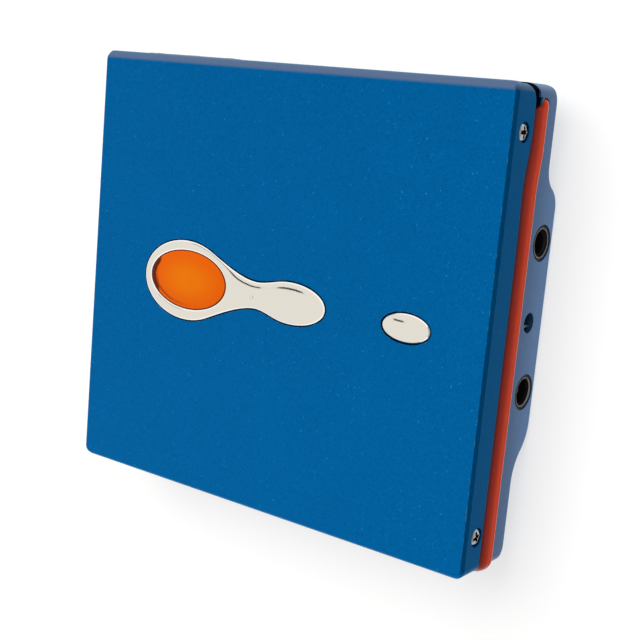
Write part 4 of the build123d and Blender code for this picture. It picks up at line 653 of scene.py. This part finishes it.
def ellipse_loop(centre, radii, count, start=0.0, end=360.0):
    """Points of an ellipse or of its arc, anticlockwise, angles in degrees."""
    steps = count if end - start == 360 else count - 1
    angles = [math.radians(start + (end - start) * i / steps) for i in range(count)]
    return [(centre[0] + radii[0] * math.cos(a), centre[1] + radii[1] * math.sin(a)) for a in angles]


def ellipse_heading(radii, angle):
    """Unit tangent of an ellipse at an angle in degrees, anticlockwise."""
    a = math.radians(angle)
    heading = np.array((-radii[0] * math.sin(a), radii[1] * math.cos(a)))
    return heading / np.linalg.norm(heading)


def smooth_run(points, first_heading, last_heading, count):
    """Points of a smooth curve through the points that leaves and arrives by the headings."""
    p = np.array(points, float)
    t = np.concatenate(([0], np.cumsum(np.linalg.norm(np.diff(p, axis=0), axis=1))))
    h = np.diff(t)
    n = len(p)
    rows, right = np.zeros((n, n)), np.zeros((n, 2))
    rows[0, 0] = rows[-1, -1] = 1
    right[0], right[-1] = first_heading, last_heading
    for i in range(1, n - 1):
        rows[i, i - 1], rows[i, i], rows[i, i + 1] = h[i], 2 * (h[i - 1] + h[i]), h[i - 1]
        right[i] = 3 * (h[i] * (p[i] - p[i - 1]) / h[i - 1] + h[i - 1] * (p[i + 1] - p[i]) / h[i])
    slope = np.linalg.solve(rows, right)
    run = []
    for s in np.linspace(0, t[-1], count + 2)[1:-1]:
        i = min(n - 2, int(np.searchsorted(t, s, side="right")) - 1)
        u = (s - t[i]) / h[i]
        run.append((2 * u**3 - 3 * u**2 + 1) * p[i] + (u**3 - 2 * u**2 + u) * h[i] * slope[i]
                   + (3 * u**2 - 2 * u**3) * p[i + 1] + (u**3 - u**2) * h[i] * slope[i + 1])
    return [tuple(q) for q in run]


def tadpole_loop():
    """Outline of the play key: ring, waisted neck and bulb, anticlockwise."""
    ring = ellipse_loop(RING_CENTRE, RING_RADII, 120, RING_OPENING, 360 - RING_OPENING)
    bulb = ellipse_loop(BULB_CENTRE, BULB_RADII, 90, -BULB_OPENING, BULB_OPENING)
    upper = smooth_run([bulb[-1], *NECK_UPPER, ring[0]], ellipse_heading(BULB_RADII, BULB_OPENING),
                       ellipse_heading(RING_RADII, RING_OPENING), 36)
    lower = smooth_run([ring[-1], *NECK_LOWER, bulb[0]], ellipse_heading(RING_RADII, -RING_OPENING),
                       ellipse_heading(BULB_RADII, -BULB_OPENING), 36)
    return ring + lower + bulb + upper


def inside(point, loop):
    """Whether a point lies inside a closed loop."""
    x, y = point
    hit = False
    for (x0, y0), (x1, y1) in zip(loop, loop[1:] + loop[:1]):
        if (y0 > y) != (y1 > y) and x < x0 + (y - y0) * (x1 - x0) / (y1 - y0):
            hit = not hit
    return hit


def on_plate(point, loops):
    """Whether a point lies inside the first loop and outside the others."""
    return inside(point, loops[0]) and not any(inside(point, hole) for hole in loops[1:])


def inset_loop(loop, depth):
    """The closed loop moved by depth to the left of its running direction."""
    p = np.array(loop)
    run = np.roll(p, -1, axis=0) - np.roll(p, 1, axis=0)
    run /= np.linalg.norm(run, axis=1)[:, None]
    return [tuple(q) for q in p + depth * np.stack((-run[:, 1], run[:, 0]), axis=1)]


def filled(loops):
    """Triangles over the plate that the loops bound, in even strips at the edges."""
    spacing, insets = PLATE_SPACING, PLATE_INSETS
    edge_points = [p for loop in loops for p in loop]
    strips = [p for depth in insets for k, loop in enumerate(loops)
              for p in inset_loop(loop, depth if k == 0 else -depth)]
    border = np.array(edge_points)
    low, high = border.min(axis=0), border.max(axis=0)
    extra, row, y = [], 0, low[1]
    while y < high[1]:
        x = low[0] + (row % 2) * spacing / 2
        while x < high[0]:
            if np.hypot(*(border - (x, y)).T).min() > insets[-1] + 0.7 * spacing and on_plate((x, y), loops):
                extra.append((x, y))
            x += spacing
        row, y = row + 1, y + spacing * ROW_STEP
    corners = [Vector(p) for p in edge_points + strips + extra]
    points, _, faces, *_ = geometry.delaunay_2d_cdt(corners, loop_edges(loops), [], 0, 1e-6)
    kept = {}
    for face in faces:
        if on_plate([sum(points[i][k] for i in face) / 3 for k in (0, 1)], loops):
            kept[frozenset(face)] = face
    return np.array([tuple(p) for p in points]), list(kept.values()), len(edge_points)


def film_heights(points, faces, border):
    """Height of a film stretched over the outline and pushed up evenly, nought at the border."""
    n = len(points)
    system, load = np.zeros((n, n)), np.zeros(n)
    for face in faces:
        for k in range(3):
            i, j, far = face[k], face[(k + 1) % 3], face[(k + 2) % 3]
            a, b = points[i] - points[far], points[j] - points[far]
            area = abs(a[0] * b[1] - a[1] * b[0])
            pull = a.dot(b) / area / 2
            system[i, j] -= pull
            system[j, i] -= pull
            system[i, i] += pull
            system[j, j] += pull
            load[i] += area / 6
    system[:border] = 0
    load[:border] = 0
    system[range(border), range(border)] = 1
    return np.clip(np.linalg.solve(system, load), 0, None)


def inflated(loops, rim, crown, crown_at):
    """Plate crowned like a stretched film: rim height at its edges, crown height at one point."""
    points, faces, border = filled(loops)
    film = np.sqrt(film_heights(points, faces, border))
    film *= (crown - rim) / film[np.hypot(*(points - crown_at).T).argmin()]
    shape = bmesh.new()
    edge = shape.verts.layers.float.new("across")
    top = [shape.verts.new((x, y, rim + film[i])) for i, (x, y) in enumerate(points)]
    # The outline and first inset rows get across 1, where the chrome finish paints a white highlight along
    # the key's edge.
    for vert in top[:4 * border]:
        vert[edge] = 1.0
    low = laid(shape, points[:border], KEY_SEAT)
    for face in faces:
        shape.faces.new([top[i] for i in face])
    start = 0
    for loop in loops:
        span = slice(start, start + len(loop))
        skinned(shape, [top[span], low[span]], closed=False)
        start += len(loop)
    bmesh.ops.holes_fill(shape, edges=[e for e in shape.edges if e.is_boundary])
    return shape


def turned(profile, steps):
    """Closed solid turned from (radius, height) points round Z."""
    shape = bmesh.new()
    rings = [laid(shape, ellipse_loop((0, 0), (radius, radius), steps if radius else 1), height)
             for radius, height in profile]
    return skinned(shape, rings, closed=False)


# ---- keys in the lid
def play_key():
    """Chromed play key: a crowned ring round the lens, a neck with a touch dot, and a crowned bulb."""
    loops = [inset_loop(tadpole_loop(), KEY_GAP), ellipse_loop(LENS_CENTRE, LENS_RADII, 120)]
    plate = inflated(loops, LID_TOP + 0.02, LID_TOP + 0.6, BULB_CENTRE)
    dot = turned([(DOT_RADIUS * share, height) for share, height in (
        (1, 0.0), (0.92, 0.12), (0.7, 0.22), (0.38, 0.29), (0, 0.31))], 24)
    dot = placed(closed_mesh(dot), (*DOT_CENTRE, LID_TOP + DOT_SEAT))
    key = one_mesh([closed_mesh(plate), dot])
    settle("play_key_crowned", key, "play", "chrome_plate", ("play_key",), 50)


def crowned_ellipse(centre, radii, rim, crown, bevel):
    """Elliptical plate with a crowned top and a rounded upper edge."""
    shape = bmesh.new()
    edge = shape.verts.layers.float.new("across")
    inner = (1 - bevel / radii[1]) / 0.96
    rings = [laid(shape, [centre], crown)]
    for r in (0.12, 0.25, 0.4, 0.55, 0.7, 0.83, 0.92):
        loop = ellipse_loop(centre, (radii[0] * r * inner, radii[1] * r * inner), 96)
        rings.append(laid(shape, loop, rim + (crown - rim) * (1 - r * r)))
    flat_rings = len(rings) + 1
    for step in range(6):
        a = math.radians(90 * step / 5)
        back = bevel * math.sin(math.pi / 2 - a)
        loop = ellipse_loop(centre, (radii[0] - back, radii[1] - back), 96)
        rings.append(laid(shape, loop, rim - bevel * (1 - math.cos(a))))
    # The bevel rings get across 1, where the chrome finish paints a white highlight along the edge.
    for vert in sum(rings[flat_rings:], []):
        vert[edge] = 1.0
    rings.append(laid(shape, ellipse_loop(centre, radii, 96), KEY_SEAT))
    return skinned(shape, rings)


def round_caps():
    """Orange lens set flush in the play key's ring, and the chromed stop key."""
    for name, centre, radii, gap, rim, crown, bevel, body, slot, stands_for in (
        ("play_key_lens_cap", LENS_CENTRE, LENS_RADII, LENS_GAP, 0.02, 0.24, 0.12, "play", "lens_orange",
         "play_key_lens"),
        ("stop_key_crowned", STOP_CENTRE, STOP_RADII, KEY_GAP, 0.1, 0.5, 0.22, "stop", "chrome_plate",
         "stop_key"),
    ):
        cap = crowned_ellipse(centre, [r - gap for r in radii], LID_TOP + rim, LID_TOP + crown, bevel)
        settle(name, closed_mesh(cap), body, slot, (stands_for,), 60)


# ---- trim band
def eased(value, low, high):
    """0 below low, 1 above high, and an even S between them."""
    u = min(1.0, max(0.0, (value - low) / (high - low)))
    return u * u * (3 - 2 * u)


def band_stations():
    """Places along the band: bead centre, outward heading, place along the side, and scale at the ends."""
    ends = ellipse_loop((BAND_REAR, 0), (1.08, 1), 13, 4, 88)
    sides = [(y, 1.0) for y in np.arange(34.0, -35.7, -0.5)]
    half = [((BAND_X, y), (1.0, 0.0), y, grow) for y, grow in ends + sides]
    corner_x, corner_y = BAND_X - BAND_CORNER, BAND_FRONT + BAND_CORNER
    for a, b in ellipse_loop((0, 0), (1, 1), 11, -7.5, -82.5):
        half.append(((corner_x + BAND_CORNER * a, corner_y + BAND_CORNER * b), (a, b), -36.0, 1.0))
    front = [((x, BAND_FRONT), (0.0, -1.0), -36.0, 1.0) for x in np.linspace(corner_x, -corner_x, 90)]
    other = [((-x, y), (-a, b), along, grow) for (x, y), (a, b), along, grow in reversed(half)]
    return half + front + other


def band_section(along, front):
    """Bead height, and the section's (out, up, across) points from its lip to its underside."""
    bead = BEAD_HEIGHT - 0.7 * eased(along, 21.0, 28.0)
    lip = LIP_HEIGHT + 0.2 * eased(along, 14.5, 21.5) - eased(along, 21.5, 30.5)
    rise = (FRONT_LIP_HEIGHT if front else lip) - bead
    tuck = LIP_REACH - (0.15 if front else 0.2)
    ended = eased(along, 33.6, 34.0)
    points = []
    for step in range(25):
        share = step / 24
        if share < LIP_SHARE:
            down = share / LIP_SHARE
            up = rise * (1 - down) + LIP_FOOT * down
            tucked = math.sin((up - LIP_FOOT) / (rise - LIP_FOOT) * math.pi / 2) ** 2
            out = LIP_REACH - tuck * (eased(up, LIP_FOOT, BEAD_RADIUS) if front else tucked)
            angle = math.radians(90 - 70.4 * down)
            out += ended * (BEAD_RADIUS * math.cos(angle) - out)
            up += ended * (BEAD_RADIUS * math.sin(angle) - up)
        else:
            angle = math.radians(19.65 - 105 * (share - LIP_SHARE) / (1 - LIP_SHARE))
            out, up = BEAD_RADIUS * math.cos(angle), BEAD_RADIUS * math.sin(angle)
        points.append((out, up, share))
    return bead, points + [(BAND_BACK, -0.95, 1.0), (BAND_BACK, rise * (1 - ended) + 0.95 * ended, 0.0)]


def trim_band():
    """Orange band round both sides and the front, full at its lower edge and tucked under the lid."""
    shape = bmesh.new()
    # The across share runs from 0 under the lid to 1 at the underside; the trim finish paints shade in the
    # groove and a highlight line along the bead by it.
    width = shape.verts.layers.float.new("across")
    loops = []
    for (x, y), (a, b), along, grow in band_stations():
        bead, points = band_section(along, along < -35.9 and abs(x) < 38.0)
        loops.append([shape.verts.new((x + a * out * grow, y + b * out * grow, bead + up * grow))
                      for out, up, _ in points])
        for vert, (_, _, share) in zip(loops[-1], points):
            vert[width] = share
    band = closed_mesh(skinned(shape, loops))
    settle("trim_band_rounded", band, "casing", "trim_orange", ("trim_band",), 35)


def band_pocket_corners():
    """The casing's own corners round the band's two rounded ends."""
    arc = ellipse_loop((BAND_REAR, 0), (POCKET_CORNER, POCKET_CORNER), 11, 0, 90)
    rear = BAND_REAR + POCKET_HALF
    shape = bmesh.new()
    for side in (-1, 1):
        for up in (-1, 1):
            outline = [(y, BAND_END_HEIGHT + up * z) for y, z in
                       [(rear, 0), (rear, POCKET_HALF), (BAND_REAR, POCKET_HALF)] + arc[::-1]]
            inner, outer = ([shape.verts.new((side * x, y, z)) for y, z in outline]
                            for x in (POCKET_X, HALF_WIDTH - 0.02))
            skinned(shape, [outer, inner])
    settle("band_pocket_corners", closed_mesh(shape), "casing", "base_blue", (), 30)


# ---- screws, springs and lead screw
def screw_head():
    """Pan head with a cross recess on a dark collar, its seat at the origin and its crown up Z."""
    rim = ellipse_loop((0, 0), (SCREW_RADIUS, SCREW_RADIUS), 48)
    collar = ellipse_loop((0, 0), (COLLAR_RADIUS, COLLAR_RADIUS), 48)
    arms = [(RECESS_REACH, -RECESS_HALF), (RECESS_REACH, RECESS_HALF), (RECESS_FILLET, RECESS_FILLET)]
    for i in range(9):
        arms.append((-arms[i][1], arms[i][0]))
    loops = (rim, collar, arms, [(0.5 * x, 0.5 * y) for x, y in arms])
    corners = [Vector(p) for loop in loops for p in loop]
    points, _, faces, *_ = geometry.delaunay_2d_cdt(corners, loop_edges(loops), [], 0, 1e-6)
    shape = bmesh.new()
    crown = shape.verts.layers.float.new("across")
    deep = len(rim) + len(collar) + len(arms)
    top = []
    for i, (x, y) in enumerate(points):
        height = 0.12 + 0.28 * (1 - (x * x + y * y) / SCREW_RADIUS**2) - (0.08 if i < len(rim) else 0)
        top.append(shape.verts.new((x, y, -RECESS_DEPTH if i >= deep else height)))
        # across is 1 on the crown and 0 on the recess floor, which the screw finish paints near black as
        # painted shade.
        top[-1][crown] = 0.0 if i >= deep else 1.0
    for face in faces:
        shape.faces.new([top[i] for i in face])
    rings = [top[:len(rim)]]
    for wide, height in ((1.0, -0.22), (1.2, -0.26), (1.2, -0.4)):
        rings.append(laid(shape, [(wide * x, wide * y) for x, y in rim], height))
    skinned(shape, rings, closed=False).faces.new(rings[-1][::-1])
    return linked("screw_head_pattern", closed_mesh(shape))


def seats_mesh(places, facings):
    """Loose points with a facing each."""
    mesh = bpy.data.meshes.new("seats")
    mesh.from_pydata([[MM * c for c in place] for place in places], [], [])
    ways = mesh.attributes.new("facing", "FLOAT_VECTOR", "POINT")
    ways.data.foreach_set("vector", [c for way in facings for c in way])
    return mesh


def screws():
    """Four screws in the lid's flanges and four in the back."""
    head = screw_head()
    outwards = [(math.copysign(1, place[0]), 0, 0) for place in LID_SCREWS]
    for name, places, facings, seed, body, stands_for in (
        ("lid_screw_heads", LID_SCREWS, outwards, 5, "lid", "lid_screws"),
        ("back_screw_heads", BACK_SCREWS, [(0, 0, -1)] * 4, 8, "casing", "base_screws"),
    ):
        mesh = grown(fastener_set, seats_mesh(places, facings), Fastener=head, Seed=seed,
                     Finish=finishes["screw_steel"])
        settle(name, mesh, body, "steel", (stands_for,), 30)
    bpy.data.objects.remove(head)


def springs():
    """Two torsion springs wound round the hinge rod."""
    coils = [placed(coiled(9.0, (SPRING_RADIUS, SPRING_RADIUS), SPRING_LENGTH, 0.17, 32, "spring_steel"),
                    (side * SPRING_X - SPRING_LENGTH / 2, HINGE_Y, HINGE_Z), turn_about("Y", 90))
             for side in (-1, 1)]
    settle("hinge_spring_coils", one_mesh(coils), "casing", "spring_steel", ("hinge_springs",))


def lead_screw():
    """Lead screw with its coarse thread."""
    low, high = (Vector(corner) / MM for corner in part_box("lead_screw"))
    length = high.x - low.x
    core = closed_mesh(turned((
        (0, 0), (SHAFT_TIP_RADIUS, 0), (SHAFT_RADIUS, SHAFT_TIP), (SHAFT_RADIUS, length - SHAFT_TIP),
        (SHAFT_TIP_RADIUS, length), (0, length)), 24))
    run = length - 2 * THREAD_START
    thread = coiled(run / THREAD_PITCH, (0.8, 0.8), run, 0.18, 32, "nickel")
    whole = one_mesh([core, placed(thread, (0, 0, THREAD_START))])
    settle("lead_screw_threaded", placed(whole, (low.x, LEAD_SCREW_Y, LEAD_SCREW_Z), turn_about("Y", 90)),
           "screw", "nickel", ("lead_screw",))


def windings():
    """Enamelled wire wound on the six stator coils."""
    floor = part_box("stator_coils")[0].z / MM
    coils = []
    for angle in (math.radians(60 * i) for i in range(6)):
        for layer in range(3):
            place = (COIL_CIRCLE * math.cos(angle), SPINDLE_Y + COIL_CIRCLE * math.sin(angle),
                     floor + 0.09 + 0.16 * layer)
            coils.append(placed(coiled(7.0, (0.75, 2.0), 0.01, 0.085, 20, "copper"), place))
    settle("stator_windings", one_mesh(coils), "casing", "copper", ("stator_coils",))


# ---- sockets
def socket_rings():
    """Thin metal ring between a black collar and a black funnel at the mouth of each socket."""
    ring = [(2.20, -0.35), (2.20, 0.03), (2.22, 0.06), (2.26, 0.08), (2.30, 0.06), (2.32, 0.03),
            (2.32, -0.35), (2.20, -0.35)]
    collar = [(2.33, -0.35), (2.33, 0.02), (2.42, 0.04), (2.48, 0.0), (2.48, -0.35), (2.33, -0.35)]
    parts = []
    for y, bore in JACKS:
        mouth = bore + 0.02
        funnel = [(mouth, -1.0), (mouth, -0.9), (2.12, -0.12), (2.19, -0.12), (2.19, -1.0), (mouth, -1.0)]
        for coat, profile in ((0, ring), (1, collar), (1, funnel)):
            shape = turned(profile, 72)
            for face in shape.faces:
                face.material_index = coat
            parts.append(placed(closed_mesh(shape), (HALF_WIDTH - 0.15, y, JACK_HEIGHT), turn_about("Y", 90)))
    settle("socket_rings", one_mesh(parts), "casing", "nickel", ("jack_rings",), 35,
           ("ring_metal", "socket_black"))


# ---- knobs, volume key and chip legs
def rib_mesh(length, width, height):
    """Rounded rib lying along Y with its foot at Z 0, in millimetres."""
    arc = ellipse_loop((0, 0), (width / 2, height), 9, 0, 180)
    shape = bmesh.new()
    return closed_mesh(skinned(shape, [[shape.verts.new((x, y, z)) for x, z in arc]
                                       for y in (-length / 2, length / 2)]))


def pressed_block(length, height, corner, steps):
    """Rounded rectangle along X and Y, built up Z through steps of inset and height."""
    loop = []
    for x, y, start in ((1, -1, -90), (1, 1, 0), (-1, 1, 90), (-1, -1, 180)):
        middle = (x * (length / 2 - corner), y * (height / 2 - corner))
        loop += ellipse_loop(middle, (corner, corner), 9, start, start + 90)
    shape = bmesh.new()
    return closed_mesh(skinned(shape, [laid(shape, inset_loop(loop, inset), top) for inset, top in steps]))


def facing(row, rise):
    """Matrix that turns a part's X along row and its Z along rise, its Y up."""
    return Matrix((row, (0, 0, 1), rise)).transposed().to_4x4()


def sliding_knobs():
    """The hold and open knobs on the left wall, each with a row of ribs."""
    for name, body, stands_for, y, z, length, height, stem, count in (
        ("hold_knob_ribbed", "hold", "hold_knob", -8.4, 2.3, 4.6, 1.6, (1.6, 0.8), 5),
        ("open_knob_ribbed", "opener", "open_knob", -27.3, 5.7, 6.4, 2.0, (3.4, 1.2), 8),
    ):
        cap = pressed_block(length, height, height / 3, ((0, 0), (0, 0.16), (0.06, 0.22), (0.16, 0.25)))
        foot = pressed_block(*stem, 0.1, ((0, -1.8), (0, 0.1)))
        ribs = grown(repeat_row, rib_mesh(0.6 * height, 0.3, 0.12), Count=count,
                     Pitch=(KNOB_RIB_PITCH * MM, 0, 0), Finish=finishes["dark_plastic"])
        placed(ribs, (-KNOB_RIB_PITCH * (count - 1) / 2, 0, KNOB_RIB_FOOT))
        knob = placed(one_mesh([cap, foot, ribs]), (-HALF_WIDTH - 0.05, y, z), facing((0, 1, 0), (-1, 0, 0)))
        settle(name, knob, body, "dark_plastic", (stands_for,), 35)


def volume_rocker():
    """The volume key with a dished middle, its raised minus and plus marks at the ends."""
    key = pressed_block(20.8, 2.4, 0.8, ((0, -1.05), (0, 0.28), (0.05, 0.34), (0.16, 0.38), (0.5, 0.39)))
    lip = pressed_block(15.0, 2.6, 0.3, ((0, -1.55), (0, -1.0)))
    bars = [(1.3, 0.26, 0.07, 8.3, 90), (1.3, 0.26, 0.07, 8.3, 0), (1.3, 0.26, 0.07, -8.3, 90)]
    dots = [(0.5, 0.3, 0.06, x, 0) for x in (-1.2, -0.6, 0, 0.6, 1.2)]
    marks = [placed(rib_mesh(*size), (x, 0, VOLUME_MARK_FOOT), turn_about("Z", turn))
             for *size, x, turn in bars + dots]
    for name, parts, stands_for, coats in (
        ("volume_key_rounded", [key, lip], ("volume_key",), ()),
        ("volume_key_marks", marks, (), ("cell_wrap",)),
    ):
        mesh = placed(one_mesh(parts), VOLUME_PLACE, facing((-1, 0, 0), (0, 1, 0)))
        settle(name, mesh, "volume", "grey_plastic", stands_for, 40, coats)


def chip_legs():
    """Rows of soldered legs round the three large chips."""
    rows = []
    first_leg = (-(CHIP_LEGS - 1) * CHIP_LEG_PITCH / 2, -CHIP_LEG_REACH, 0)
    for x in CHIPS_X:
        for quarter in range(4):
            row = grown(repeat_row, rib_mesh(0.7, 0.26, 0.22), Count=CHIP_LEGS,
                        Pitch=(CHIP_LEG_PITCH * MM, 0, 0), Finish=finishes["nickel"])
            placed(row, first_leg)
            rows.append(placed(row, (x, CHIPS_Y, CHIP_LEG_HEIGHT), turn_about("Z", 90 * quarter)))
    settle("chip_legs", one_mesh(rows), "casing", "nickel")


# ---- the studio and the player
product_camera()
white_world(0.5)
pale_floor(0.62, 0.42, 0.07, 0.22)
key_softbox()
studio_card("side_card", [(0.0435, -0.08, 3e-4), (0.3, -0.2, 3e-4), (0.3, 0.2, 3e-4), (0.0435, 0.08, 3e-4)],
            0.5, 0.14, (0.05, 0.12))
studio_card("end_card", [(0.3, -0.4, 3e-4), (0.3, 0.4, 3e-4), (0.3, 0.4, 0.3), (0.3, -0.4, 0.3)],
            0.34, 0.34, (0.0, 1.0))
studio_card("streak_card", [(-0.42, 0.05, 0.503), (-0.30, 0.05, 0.543), (-0.30, 0.092, 0.53),
                            (-0.42, 0.092, 0.49)], 0.02, 0.02, (0.0, 1.0))
for make in (
    trim_band, band_pocket_corners, play_key, round_caps, screws, sliding_knobs, volume_rocker,
    springs, lead_screw, windings, socket_rings, chip_legs,
):
    make()

scene.view_settings.view_transform = "Standard"
